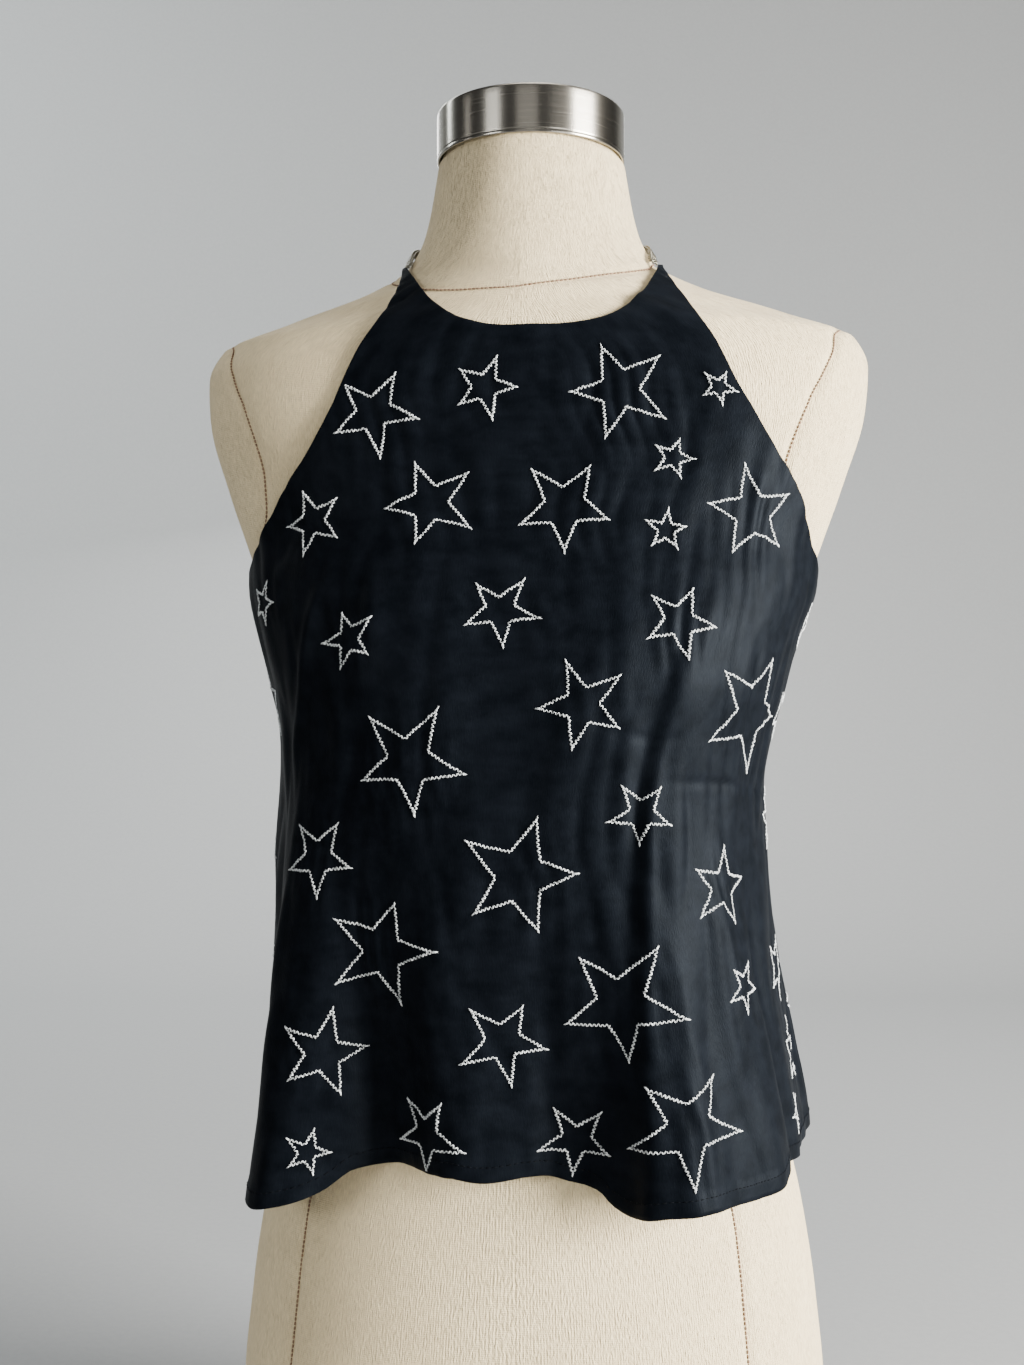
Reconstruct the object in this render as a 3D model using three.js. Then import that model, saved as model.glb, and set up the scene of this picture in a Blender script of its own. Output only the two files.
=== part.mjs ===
// A sleeveless halter neck top in satin, worn by a limbless dress form.
// The front hangs from a fine metal chain round the back of the neck, the back is a low plain panel,
// and both fall in soft flutes to a stitched hem. The form is a padded torso with a metal neck cap,
// and it stands on a flat board.
// Units are millimetres. +Z is up, the wearer's front faces -Y, and the origin is the middle of the
// underside. Angles go round the body from the front: 0 is -Y, 90 is +X, and 180 is the back.

import * as THREE from "three";

// Driving dimensions of the dress form
const BOARD_THICK = 12;
const BOARD_INSET = 5;
const SEAT_GAP = 0.3;
const CAP_HEIGHT = 24.5;
const CAP_TOP = 812.5;
const CAP_RADIUS = 53;
const CAP_ROUNDING = 3;
const NECK_LEAN = 7;
const FOOT = BOARD_THICK + SEAT_GAP;
const NECK_TOP = CAP_TOP - CAP_HEIGHT - SEAT_GAP;

// Driving dimensions of the top
const CLOTH_WALL = 1.2;
const CHEST_EASE = 2.6;
const WORN_TURN = 3.5;
const SIDE_SEAM = 92;
const SEAM_HALF_GAP = 0.06;
const UNDERARM = 545;
const STRAP_TOP = 719;
const STRAP_SHARE = 0.95;
const NECKLINE_DIP = 677.5;
const NECKLINE_CURVE = 4;
const BACK_TOP = 522;
const BACK_DIP = 0.25;

// Driving dimensions of the chain and its clasp
const CHAIN_DIAMETER = 3.4;
const CHAIN_CLEARANCE = 0.7;
const CLASP_DIAMETER = 6;
const CLASP_LENGTH = 14;
const CLASP_STRAIGHT = 4;
const CLASP_BEND = 5;

// How finely the surfaces are divided
const FORM_AROUND = 44;
const FRONT_ACROSS = 40;
const BACK_ACROSS = 36;
const PANEL_BELOW_ARM = 14;
const FRONT_ABOVE_ARM = 12;
const CAP_AROUND = 40;
const CAP_EDGE_STEPS = 3;
const CHAIN_STEPS = 18;
const CHAIN_POINTS = 9;
const CHAIN_SIDES = 8;
const CLASP_SIDES = 16;
const NUDGE = 0.5;

// The form's sections: half width, reach to the front and to the back, and squareness of the outline
const FORM = [
  { z: FOOT, side: 159, front: 98, back: 114, power: 2.3 },
  { z: 90, side: 165, front: 103, back: 122, power: 2.3 },
  { z: 150, side: 160, front: 101, back: 120, power: 2.25 },
  { z: 200, side: 152.5, front: 97, back: 113, power: 2.2 },
  { z: 260, side: 138, front: 91, back: 98, power: 2.15 },
  { z: 310, side: 125, front: 86, back: 84, power: 2.1 },
  { z: 355, side: 118, front: 85, back: 77, power: 2.1 },
  { z: 400, side: 121, front: 88, back: 80, power: 2.1 },
  { z: 440, side: 127, front: 96, back: 87, power: 2.15 },
  { z: 485, side: 138, front: 103, back: 94, power: 2.2 },
  { z: 520, side: 148, front: 101, back: 98, power: 2.25 },
  { z: 560, side: 161, front: 95, back: 101, power: 2.4 },
  { z: 600, side: 175, front: 88, back: 100, power: 2.5 },
  { z: 640, side: 187, front: 81, back: 95, power: 2.4 },
  { z: 665, side: 189, front: 77, back: 88, power: 2.15 },
  { z: 682, side: 182, front: 74, back: 82, power: 1.85 },
  { z: 696, side: 147, front: 71, back: 77, power: 1.6 },
  { z: 710, side: 103, front: 68, back: 72, power: 1.6 },
  { z: 724, side: 73, front: 65, back: 65, power: 1.9 },
  { z: 745, side: 61, front: 61, back: 55, power: 2 },
  { z: NECK_TOP, side: 52.6, front: 59.6, back: 45.6, power: 2 },
];
const BUST = { side: 70, z: 487, out: 19, across: 35, up: 42 };

// Where the form's rings are spaced wide and where they are close
const RINGS = [
  { from: FOOT, to: 640, count: 20 },
  { from: 640, to: 745, count: 15 },
  { from: 745, to: NECK_TOP, count: 3 },
];

// The top's sections below the arms, along the middle of the cloth. shift is how far it hangs to +X
const TOP = [
  { z: 200, side: 156, front: 111, back: 136, power: 2.2, shift: 0 },
  { z: 240, side: 154.5, front: 112, back: 130, power: 2.2, shift: 0 },
  { z: 285, side: 149, front: 113.5, back: 122, power: 2.25, shift: -1.5 },
  { z: 340, side: 142, front: 116, back: 112, power: 2.35, shift: -3.5 },
  { z: 390, side: 138, front: 118, back: 105, power: 2.45, shift: -4.5 },
  { z: 430, side: 136, front: 120, back: 101, power: 2.5, shift: -3.5 },
  { z: 460, side: 138, front: 121.5, back: 99, power: 2.55, shift: -1.5 },
  { z: 487, side: 144, front: 122, back: 98, power: 2.6, shift: 0 },
  { z: 515, side: 151.5, front: 117, back: 99.3, power: 2.6, shift: 0 },
  { z: 545, side: 160.5, front: 107, back: 103, power: 2.5, shift: 0 },
];
const CHEST_ALL = 600;

// The hem's height round the body
const HEM = [
  { angle: -180, z: 237 },
  { angle: -130, z: 234 },
  { angle: -92, z: 229 },
  { angle: -55, z: 221 },
  { angle: -45, z: 217 },
  { angle: -36, z: 226 },
  { angle: -27, z: 240 },
  { angle: -6, z: 238 },
  { angle: 10, z: 240 },
  { angle: 21, z: 229 },
  { angle: 29, z: 223 },
  { angle: 46, z: 229 },
  { angle: 66, z: 239 },
  { angle: 92, z: 242 },
  { angle: 130, z: 242 },
  { angle: 180, z: 237 },
];

// The flutes and the hollows between them: where each stands, its half width in degrees,
// how far out of the plain section it reaches at the hem, and the height where it dies out
const FLUTES = [
  { angle: -43, spread: 11, out: 29, top: 500 },
  { angle: -23, spread: 9, out: -15, top: 430 },
  { angle: -6, spread: 7, out: 3, top: 380 },
  { angle: 10, spread: 9, out: -11, top: 470 },
  { angle: 31, spread: 12, out: 25, top: 500 },
  { angle: 55, spread: 10, out: 10, top: 400 },
  { angle: 80, spread: 9, out: -4, top: 430 },
  { angle: 107, spread: 11, out: 8, top: 420 },
  { angle: 128, spread: 10, out: -6, top: 420 },
  { angle: 150, spread: 13, out: 16, top: 440 },
  { angle: 176, spread: 11, out: -7, top: 400 },
  { angle: 203, spread: 12, out: 15, top: 440 },
  { angle: 229, spread: 10, out: -6, top: 420 },
  { angle: 252, spread: 11, out: 9, top: 420 },
  { angle: 280, spread: 9, out: -4, top: 400 },
];

// How fast the flutes grow towards the hem, and how fast the hem's wave fades above it
const FLUTE_GROWTH = 1.4;
const HEM_FADE = 3;

// The front's edge above the underarm, from the side seam to the strap point
const ARMHOLE = [
  { z: 545, angle: 92 },
  { z: 551, angle: 80 },
  { z: 563, angle: 68 },
  { z: 584, angle: 54 },
  { z: 612, angle: 39 },
  { z: 640, angle: 31.5 },
  { z: 668, angle: 29 },
  { z: 690, angle: 33 },
  { z: 705, angle: 42 },
  { z: 719, angle: 58 },
];
const ARMHOLE_SPACING = 1.25;

// The chain's height round the neck, from the strap point to the nape
const CHAIN = [
  { angle: 58.3, z: 719.4 },
  { angle: 74, z: 729 },
  { angle: 92, z: 737 },
  { angle: 115, z: 742.5 },
  { angle: 145, z: 746 },
  { angle: 180, z: 747 },
];

const { clamp, lerp, smoothstep, degToRad, radToDeg } = THREE.MathUtils;

// A smooth curve through one column of a table. It never overshoots the rows.
function column(rows, key, value) {
  const x = rows.map((row) => row[key]);
  const y = rows.map((row) => row[value]);
  const last = x.length - 1;
  const slopes = x.slice(0, last).map((at, i) => (y[i + 1] - y[i]) / (x[i + 1] - at));
  const bends = x.map((_, i) => {
    if (i === 0) return slopes[0];
    if (i === last) return slopes[last - 1];
    const [before, after] = [slopes[i - 1], slopes[i]];
    return before * after <= 0 ? 0 : (2 * before * after) / (before + after);
  });
  return (at) => {
    const where = clamp(at, x[0], x[last]);
    let i = 0;
    while (i < last - 1 && where > x[i + 1]) i += 1;
    const width = x[i + 1] - x[i];
    const s = (where - x[i]) / width;
    return (
      y[i] * (1 + 2 * s) * (1 - s) ** 2 +
      y[i + 1] * s ** 2 * (3 - 2 * s) +
      width * (bends[i] * s * (1 - s) ** 2 - bends[i + 1] * s ** 2 * (1 - s))
    );
  };
}

// The section at any height, from a table of sections.
function sections(rows) {
  const names = Object.keys(rows[0]).filter((name) => name !== "z");
  const curves = names.map((name) => column(rows, "z", name));
  return (z) => Object.fromEntries(names.map((name, i) => [name, curves[i](z)]));
}

// The same angle between -180 and 180.
function signed(degrees) {
  return ((degrees + 540) % 360) - 180;
}

const formSection = sections(FORM);
const looseSection = sections(TOP);
const hemCurve = column(HEM, "angle", "z");
const hemHeight = (degrees) => hemCurve(signed(degrees));
const armholeAngle = column(ARMHOLE, "z", "angle");
const chainHeight = column(CHAIN, "angle", "z");

// A point of a section's outline, which is a rounded box about the axis.
function outline(section, degrees) {
  const turn = degToRad(degrees);
  const across = Math.sin(turn);
  const ahead = Math.cos(turn);
  const reach = ahead >= 0 ? section.front : section.back;
  const bent = (x) => Math.sign(x) * Math.abs(x) ** (2 / section.power);
  return { x: section.side * bent(across), y: -reach * bent(ahead) };
}

// How far the bust stands out of the plain section.
function bustOut(x, z) {
  const rise = ((z - BUST.z) / BUST.up) ** 2;
  const swell = (middle) => Math.exp(-(((x - middle) / BUST.across) ** 2 + rise) / 2);
  return BUST.out * (swell(BUST.side) + swell(-BUST.side));
}

function formPoint(degrees, z) {
  const section = formSection(z);
  const { x, y } = outline(section, degrees);
  const facing = clamp(-y / section.front, 0, 1);
  return new THREE.Vector3(x, y - bustOut(x, z) * facing, z);
}

// The direction straight out of the form's surface.
function formNormal(degrees, z) {
  const around = formPoint(degrees + NUDGE, z).sub(formPoint(degrees - NUDGE, z));
  const upward = formPoint(degrees, z + NUDGE).sub(formPoint(degrees, z - NUDGE));
  return around.cross(upward).normalize();
}

// How far the flutes carry the cloth out of its plain section.
function fluteOut(degrees, z) {
  return FLUTES.reduce((sum, flute) => {
    const apart = signed(degrees - flute.angle);
    const share = Math.max(0, (flute.top - z) / (flute.top - hemHeight(0)));
    return sum + flute.out * Math.exp(-((apart / flute.spread) ** 2)) * share ** FLUTE_GROWTH;
  }, 0);
}

// A point of the cloth: loose below the arms, and lying on the chest above them.
function clothPoint(degrees, z) {
  const turn = degToRad(degrees);
  const section = looseSection(z);
  const { x, y } = outline(section, degrees);
  const out = fluteOut(degrees, z);
  const loose = new THREE.Vector3(x + section.shift + out * Math.sin(turn), y - out * Math.cos(turn), z);
  const onChest = formPoint(degrees, z).addScaledVector(formNormal(degrees, z), CHEST_EASE);
  return loose.lerp(onChest, smoothstep(z, UNDERARM, CHEST_ALL));
}

// The direction straight out of the cloth.
function clothNormal(degrees, z) {
  const around = clothPoint(degrees + NUDGE, z).sub(clothPoint(degrees - NUDGE, z));
  const upward = clothPoint(degrees, z + NUDGE).sub(clothPoint(degrees, z - NUDGE));
  return around.cross(upward).normalize();
}

const ARM_SHARE = PANEL_BELOW_ARM / (PANEL_BELOW_ARM + FRONT_ABOVE_ARM);

// Where the front's side edge stands at a share of its height: on the seam, then on the armhole.
function frontEdge(side, up) {
  if (up <= ARM_SHARE) {
    const z = lerp(hemHeight(WORN_TURN + side * SIDE_SEAM), UNDERARM, up / ARM_SHARE);
    return { z, angle: SIDE_SEAM - SEAM_HALF_GAP };
  }
  const along = (up - ARM_SHARE) / (1 - ARM_SHARE);
  const z = UNDERARM + (STRAP_TOP - UNDERARM) * along ** ARMHOLE_SPACING;
  return { z, angle: Math.min(armholeAngle(z), SIDE_SEAM - SEAM_HALF_GAP) };
}

// Where a point of the front panel lies. across runs from -1 to 1 between its edges, and up from 0 to 1.
function frontPoint(across, up) {
  const side = Math.sign(across);
  const share = Math.min(1, Math.abs(across) / STRAP_SHARE) ** NECKLINE_CURVE;
  const height = (at) => {
    const middle = lerp(hemHeight(WORN_TURN), NECKLINE_DIP, at);
    return lerp(middle, frontEdge(side, at).z, share);
  };
  const edge = frontEdge(side, up);
  const plain = Math.abs(across) * edge.angle;
  const hemWave = hemHeight(WORN_TURN + across * SIDE_SEAM) - height(0);
  const z = height(up) + hemWave * (1 - up) ** HEM_FADE;
  const width = outline(formSection(edge.z), plain).x;
  const section = formSection(z);
  const level = radToDeg(Math.asin(clamp(width / section.side, 0, 1) ** (section.power / 2)));
  const angle = lerp(plain, level, smoothstep(edge.z, UNDERARM, CHEST_ALL));
  return { angle: WORN_TURN + side * angle, z };
}

// Where a point of the back panel lies. It runs from one side seam round the back to the other.
function backPoint(across, up) {
  const angle = WORN_TURN + 180 + across * (180 - SIDE_SEAM - SEAM_HALF_GAP);
  const top = lerp(BACK_TOP, UNDERARM, smoothstep(Math.abs(across), BACK_DIP, 1));
  return { angle, z: lerp(hemHeight(angle), top, up) };
}

// A closed geometry from its points and its faces, each a list of three or four point numbers.
function closed(points, faces) {
  const index = faces.flatMap(([a, b, c, d]) => (d === undefined ? [a, b, c] : [a, b, c, a, c, d]));
  const geometry = new THREE.BufferGeometry().setFromPoints(points);
  geometry.setIndex(index);
  geometry.computeVertexNormals();
  return geometry;
}

// A wall of cloth through the places of a panel, with its four edges closed.
function wall(panel, nAcross, nUp) {
  const wide = nAcross + 1;
  const grid = [];
  for (let j = 0; j <= nUp; j += 1) {
    for (let i = 0; i <= nAcross; i += 1) grid.push(panel((2 * i) / nAcross - 1, j / nUp));
  }
  const layer = (offset) =>
    grid.map(({ angle, z }) => clothPoint(angle, z).addScaledVector(clothNormal(angle, z), offset));
  const points = [...layer(CLOTH_WALL / 2), ...layer(-CLOTH_WALL / 2)];
  const inner = grid.length;
  const faces = [];
  for (let j = 0; j < nUp; j += 1) {
    for (let i = 0; i < nAcross; i += 1) {
      const [a, b, c, d] = [j * wide + i, j * wide + i + 1, (j + 1) * wide + i + 1, (j + 1) * wide + i];
      faces.push([a, b, c, d], [inner + d, inner + c, inner + b, inner + a]);
    }
  }
  const rim = [];
  for (let i = 0; i < nAcross; i += 1) rim.push(i);
  for (let j = 0; j < nUp; j += 1) rim.push(j * wide + nAcross);
  for (let i = nAcross; i > 0; i -= 1) rim.push(nUp * wide + i);
  for (let j = nUp; j > 0; j -= 1) rim.push(j * wide);
  rim.forEach((a, n) => {
    const b = rim[(n + 1) % rim.length];
    faces.push([b, a, inner + a, inner + b]);
  });
  return closed(points, faces);
}

// The padded torso, as rings from the board up to the neck cap.
function torso() {
  const heights = RINGS.flatMap((stretch) =>
    Array.from({ length: stretch.count }, (_, n) => lerp(stretch.from, stretch.to, n / stretch.count)),
  );
  heights.push(FORM[FORM.length - 1].z);
  const points = heights.flatMap((z) =>
    Array.from({ length: FORM_AROUND }, (_, i) => formPoint((360 * i) / FORM_AROUND, z)),
  );
  const faces = [];
  for (let j = 0; j < heights.length - 1; j += 1) {
    for (let i = 0; i < FORM_AROUND; i += 1) {
      const next = (i + 1) % FORM_AROUND;
      const [low, high] = [j * FORM_AROUND, (j + 1) * FORM_AROUND];
      faces.push([low + i, low + next, high + next, high + i]);
    }
  }
  const topRing = (heights.length - 1) * FORM_AROUND;
  for (let i = 1; i < FORM_AROUND - 1; i += 1) {
    faces.push([0, i + 1, i], [topRing, topRing + i, topRing + i + 1]);
  }
  return closed(points, faces);
}

// The flat board under the torso.
function board() {
  const foot = formSection(FORM[0].z);
  const shape = new THREE.Shape(
    Array.from({ length: FORM_AROUND }, (_, i) => {
      const { x, y } = outline(foot, (360 * i) / FORM_AROUND);
      const reach = Math.hypot(x, y);
      return new THREE.Vector2(x, y).multiplyScalar((reach - BOARD_INSET) / reach);
    }),
  );
  return new THREE.ExtrudeGeometry(shape, { depth: BOARD_THICK, bevelEnabled: false });
}

// The metal cap on the neck: a turned disc with a rounded upper edge.
function neckCap() {
  const flank = CAP_HEIGHT - CAP_ROUNDING;
  const profile = [new THREE.Vector2(0, 0), new THREE.Vector2(CAP_RADIUS, 0)];
  for (let n = 0; n <= CAP_EDGE_STEPS; n += 1) {
    const turn = (n / CAP_EDGE_STEPS) * (Math.PI / 2);
    const reach = CAP_RADIUS - CAP_ROUNDING * (1 - Math.cos(turn));
    profile.push(new THREE.Vector2(reach, flank + CAP_ROUNDING * Math.sin(turn)));
  }
  profile.push(new THREE.Vector2(0, CAP_HEIGHT));
  const geometry = new THREE.LatheGeometry(profile, CAP_AROUND);
  geometry.rotateX(Math.PI / 2);
  geometry.translate(0, -NECK_LEAN, CAP_TOP - CAP_HEIGHT);
  return geometry;
}

// A point beside the neck, a given distance clear of the form.
function besideNeck(degrees, z, distance) {
  return formPoint(degrees, z).addScaledVector(formNormal(degrees, z), distance);
}

const NAPE_ANGLE = WORN_TURN + 180;
const NAPE = besideNeck(NAPE_ANGLE, chainHeight(180), CLASP_DIAMETER / 2 + CHAIN_CLEARANCE);
const NAPE_LINE = formPoint(NAPE_ANGLE - NUDGE, NAPE.z)
  .sub(formPoint(NAPE_ANGLE + NUDGE, NAPE.z))
  .normalize();

// One half of the chain, as the plain rope that its links fill. side is 1 on +X and -1 on -X.
function chainHalf(side) {
  const distance = CHAIN_DIAMETER / 2 + CHAIN_CLEARANCE;
  const from = CHAIN[0].angle;
  const reach = CLASP_LENGTH / 2 + CLASP_STRAIGHT + CLASP_BEND;
  const to = 180 - radToDeg(reach / Math.hypot(NAPE.x, NAPE.y));
  const route = Array.from({ length: CHAIN_POINTS }, (_, i) => {
    const angle = lerp(from, to, i / (CHAIN_POINTS - 1));
    return besideNeck(WORN_TURN + side * angle, chainHeight(angle), distance);
  });
  for (const straight of [CLASP_STRAIGHT, 0]) {
    const away = CLASP_LENGTH / 2 + SEAT_GAP + straight;
    route.push(NAPE.clone().addScaledVector(NAPE_LINE, side * away));
  }
  const ring = Array.from({ length: CHAIN_SIDES }, (_, i) => {
    const turn = (2 * Math.PI * i) / CHAIN_SIDES;
    return new THREE.Vector2(Math.cos(turn), Math.sin(turn)).multiplyScalar(CHAIN_DIAMETER / 2);
  });
  return new THREE.ExtrudeGeometry(new THREE.Shape(ring), {
    steps: CHAIN_STEPS,
    extrudePath: new THREE.CatmullRomCurve3(route),
  });
}

function clasp() {
  const radius = CLASP_DIAMETER / 2;
  const geometry = new THREE.CylinderGeometry(radius, radius, CLASP_LENGTH, CLASP_SIDES);
  geometry.rotateZ(Math.PI / 2 + Math.atan2(NAPE_LINE.y, NAPE_LINE.x));
  geometry.translate(NAPE.x, NAPE.y, NAPE.z);
  return geometry;
}

const satin = new THREE.MeshStandardMaterial({ color: 0x11151c, roughness: 0.42 });
const linen = new THREE.MeshStandardMaterial({ color: 0xe6dfcf, roughness: 0.9 });
const nickel = new THREE.MeshStandardMaterial({ color: 0xb4aca0, roughness: 0.3, metalness: 1 });
const silver = new THREE.MeshStandardMaterial({ color: 0xc9c4b6, roughness: 0.25, metalness: 1 });
const wood = new THREE.MeshStandardMaterial({ color: 0xcdb38b, roughness: 0.6 });

const model = new THREE.Group();

function add(name, geometry, material) {
  const mesh = new THREE.Mesh(geometry, material);
  mesh.name = name;
  model.add(mesh);
}

add("front_panel", wall(frontPoint, FRONT_ACROSS, PANEL_BELOW_ARM + FRONT_ABOVE_ARM), satin);
add("back_panel", wall(backPoint, BACK_ACROSS, PANEL_BELOW_ARM), satin);
add("neck_chain_left", chainHalf(1), silver);
add("neck_chain_right", chainHalf(-1), silver);
add("chain_clasp", clasp(), silver);
add("form_torso", torso(), linen);
add("form_neck_cap", neckCap(), nickel);
add("form_board", board(), wood);

export default model;
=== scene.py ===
"""A satin halter neck top with embroidered stars, worn by a limbless dress form.

The top is a thin cloth shell that lies on the chest and falls in flutes below it. Its stars are laid down
stitch by stitch, and it hangs from a fine chain that a clasp closes at the nape. Sizes are in millimetres,
and meshes are written in metres. Angles go round the body from the front: 0 is -Y, 90 is +X, 180 the back.
"""

import logging
import math
from dataclasses import dataclass, field, fields
from enum import Enum
from typing import Callable, Optional, Sequence

import bpy
import numpy as np
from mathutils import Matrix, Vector, noise
from mathutils.kdtree import KDTree

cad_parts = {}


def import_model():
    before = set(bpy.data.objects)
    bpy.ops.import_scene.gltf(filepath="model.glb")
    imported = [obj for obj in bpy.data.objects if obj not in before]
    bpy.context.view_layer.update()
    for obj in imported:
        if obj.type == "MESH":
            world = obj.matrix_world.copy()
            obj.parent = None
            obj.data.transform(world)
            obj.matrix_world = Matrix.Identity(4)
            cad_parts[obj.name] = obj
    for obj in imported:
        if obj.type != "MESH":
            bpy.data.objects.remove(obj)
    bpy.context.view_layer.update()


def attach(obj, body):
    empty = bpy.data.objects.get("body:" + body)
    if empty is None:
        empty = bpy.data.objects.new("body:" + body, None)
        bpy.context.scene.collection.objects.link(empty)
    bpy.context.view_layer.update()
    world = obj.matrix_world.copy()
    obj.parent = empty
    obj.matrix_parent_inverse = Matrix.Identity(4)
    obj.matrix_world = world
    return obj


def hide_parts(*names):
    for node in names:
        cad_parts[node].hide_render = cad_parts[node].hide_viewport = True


LOG = logging.getLogger("halter_top")
MM = 0.001
NUDGE = 0.5
BODY = "root"
Array = np.ndarray


class Slot(Enum):
    """The record's material slots."""

    SATIN = "satin"
    CHAIN = "chain"
    COVER = "form_cover"
    CAP = "neck_cap"
    BOARD = "board"


@dataclass(frozen=True)
class Section:
    """One level of a rounded outline about the upright axis."""

    z: float
    side: float
    front: float
    back: float
    power: float
    shift: float = 0.0


@dataclass(frozen=True)
class Flute:
    """A flute, or with a negative reach the hollow between two, which grows from its top to the hem."""

    angle: float
    spread: float
    out: float
    top: float


@dataclass(frozen=True)
class Crease:
    """A soft ridge, or with a negative height a trough, from one place on the cloth to another."""

    angle: float
    z: float
    to_angle: float
    to_z: float
    width: float
    height: float
    bow: float = 0.0


@dataclass(frozen=True)
class PhotoStar:
    """A star of the front: where the photograph shows its middle, its tip radius and its turn clockwise."""

    photo_x: float
    photo_y: float
    tip: float
    turn: float


@dataclass(frozen=True)
class Star:
    """A star by its place on the cloth, its tip radius and its turn clockwise."""

    angle: float
    z: float
    tip: float
    turn: float


BOARD_THICK = 12.0
SEAT_GAP = 0.3
CAP_HEIGHT = 24.5
CAP_TOP = 812.5
FOOT = BOARD_THICK + SEAT_GAP
NECK_TOP = CAP_TOP - CAP_HEIGHT - SEAT_GAP

FORM_SECTIONS = (
    Section(FOOT, side=159, front=98, back=114, power=2.3),
    Section(90, side=165, front=103, back=122, power=2.3),
    Section(150, side=160, front=101, back=120, power=2.25),
    Section(200, side=152.5, front=97, back=113, power=2.2),
    Section(260, side=138, front=91, back=98, power=2.15),
    Section(310, side=125, front=86, back=84, power=2.1),
    Section(355, side=118, front=85, back=77, power=2.1),
    Section(400, side=121, front=88, back=80, power=2.1),
    Section(440, side=127, front=96, back=87, power=2.15),
    Section(485, side=138, front=103, back=94, power=2.2),
    Section(520, side=148, front=101, back=98, power=2.25),
    Section(560, side=161, front=95, back=101, power=2.4),
    Section(600, side=175, front=88, back=100, power=2.5),
    Section(640, side=187, front=81, back=95, power=2.4),
    Section(665, side=189, front=77, back=88, power=2.15),
    Section(682, side=182, front=74, back=82, power=1.85),
    Section(696, side=147, front=71, back=77, power=1.6),
    Section(710, side=103, front=68, back=72, power=1.6),
    Section(724, side=73, front=65, back=65, power=1.9),
    Section(745, side=61, front=61, back=55, power=2),
    Section(NECK_TOP, side=52.6, front=59.6, back=45.6, power=2),
)

TOP_SECTIONS = (
    Section(200, side=156, front=111, back=136, power=2.2),
    Section(240, side=154.5, front=112, back=130, power=2.2),
    Section(285, side=149, front=113.5, back=122, power=2.25, shift=-1.5),
    Section(340, side=142, front=116, back=112, power=2.35, shift=-3.5),
    Section(390, side=138, front=118, back=105, power=2.45, shift=-4.5),
    Section(430, side=136, front=120, back=101, power=2.5, shift=-3.5),
    Section(460, side=138, front=121.5, back=99, power=2.55, shift=-1.5),
    Section(487, side=144, front=122, back=98, power=2.6),
    Section(515, side=151.5, front=117, back=99.3, power=2.6),
    Section(545, side=160.5, front=107, back=103, power=2.5),
    Section(572, side=162, front=98.5, back=104, power=2.5),
    Section(600, side=163, front=92, back=105, power=2.5),
)

HEM_ANGLES = (-180, -130, -92, -55, -45, -39, -34, -30, -22, -9, -4, 4, 10, 15, 17, 20, 26, 34, 43, 54,
              63, 78, 92, 130, 180)
HEM_HEIGHTS = (237, 234, 229, 221, 218, 221.5, 228, 238, 239.5, 240.5, 238.5, 241, 237.5, 233, 227, 224,
               227.5, 229.5, 228.5, 230.5, 236, 234, 236, 241, 237)
ARMHOLE_HEIGHTS = (545, 551, 563, 584, 612, 640, 668, 690, 705, 719)
ARMHOLE_ANGLES = (92, 80, 68, 53.5, 39, 31.2, 29, 33.4, 43.5, 62)
LEAN_HEIGHTS = (545, 569, 590, 612, 632, 653, 674, 695, 719)
LEAN_ANGLES = (0, 1.8, 2.4, 1.6, 0.8, -0.1, -0.3, 0, 1.0)
CHAIN_ANGLES = (58.3, 74, 92, 115, 145, 180)
CHAIN_HEIGHTS = (719.4, 729, 737, 742.5, 746, 747)

FLUTES = (
    Flute(-43, spread=11, out=29, top=500),
    Flute(-23, spread=9, out=-15, top=430),
    Flute(-6, spread=7, out=3, top=380),
    Flute(10, spread=9, out=-11, top=470),
    Flute(31, spread=12, out=25, top=500),
    Flute(55, spread=10, out=10, top=400),
    Flute(80, spread=9, out=-4, top=430),
    Flute(107, spread=11, out=8, top=420),
    Flute(128, spread=10, out=-6, top=420),
    Flute(150, spread=13, out=16, top=440),
    Flute(176, spread=11, out=-7, top=400),
    Flute(203, spread=12, out=15, top=440),
    Flute(229, spread=10, out=-6, top=420),
    Flute(252, spread=11, out=9, top=420),
    Flute(280, spread=9, out=-4, top=400),
)

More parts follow.
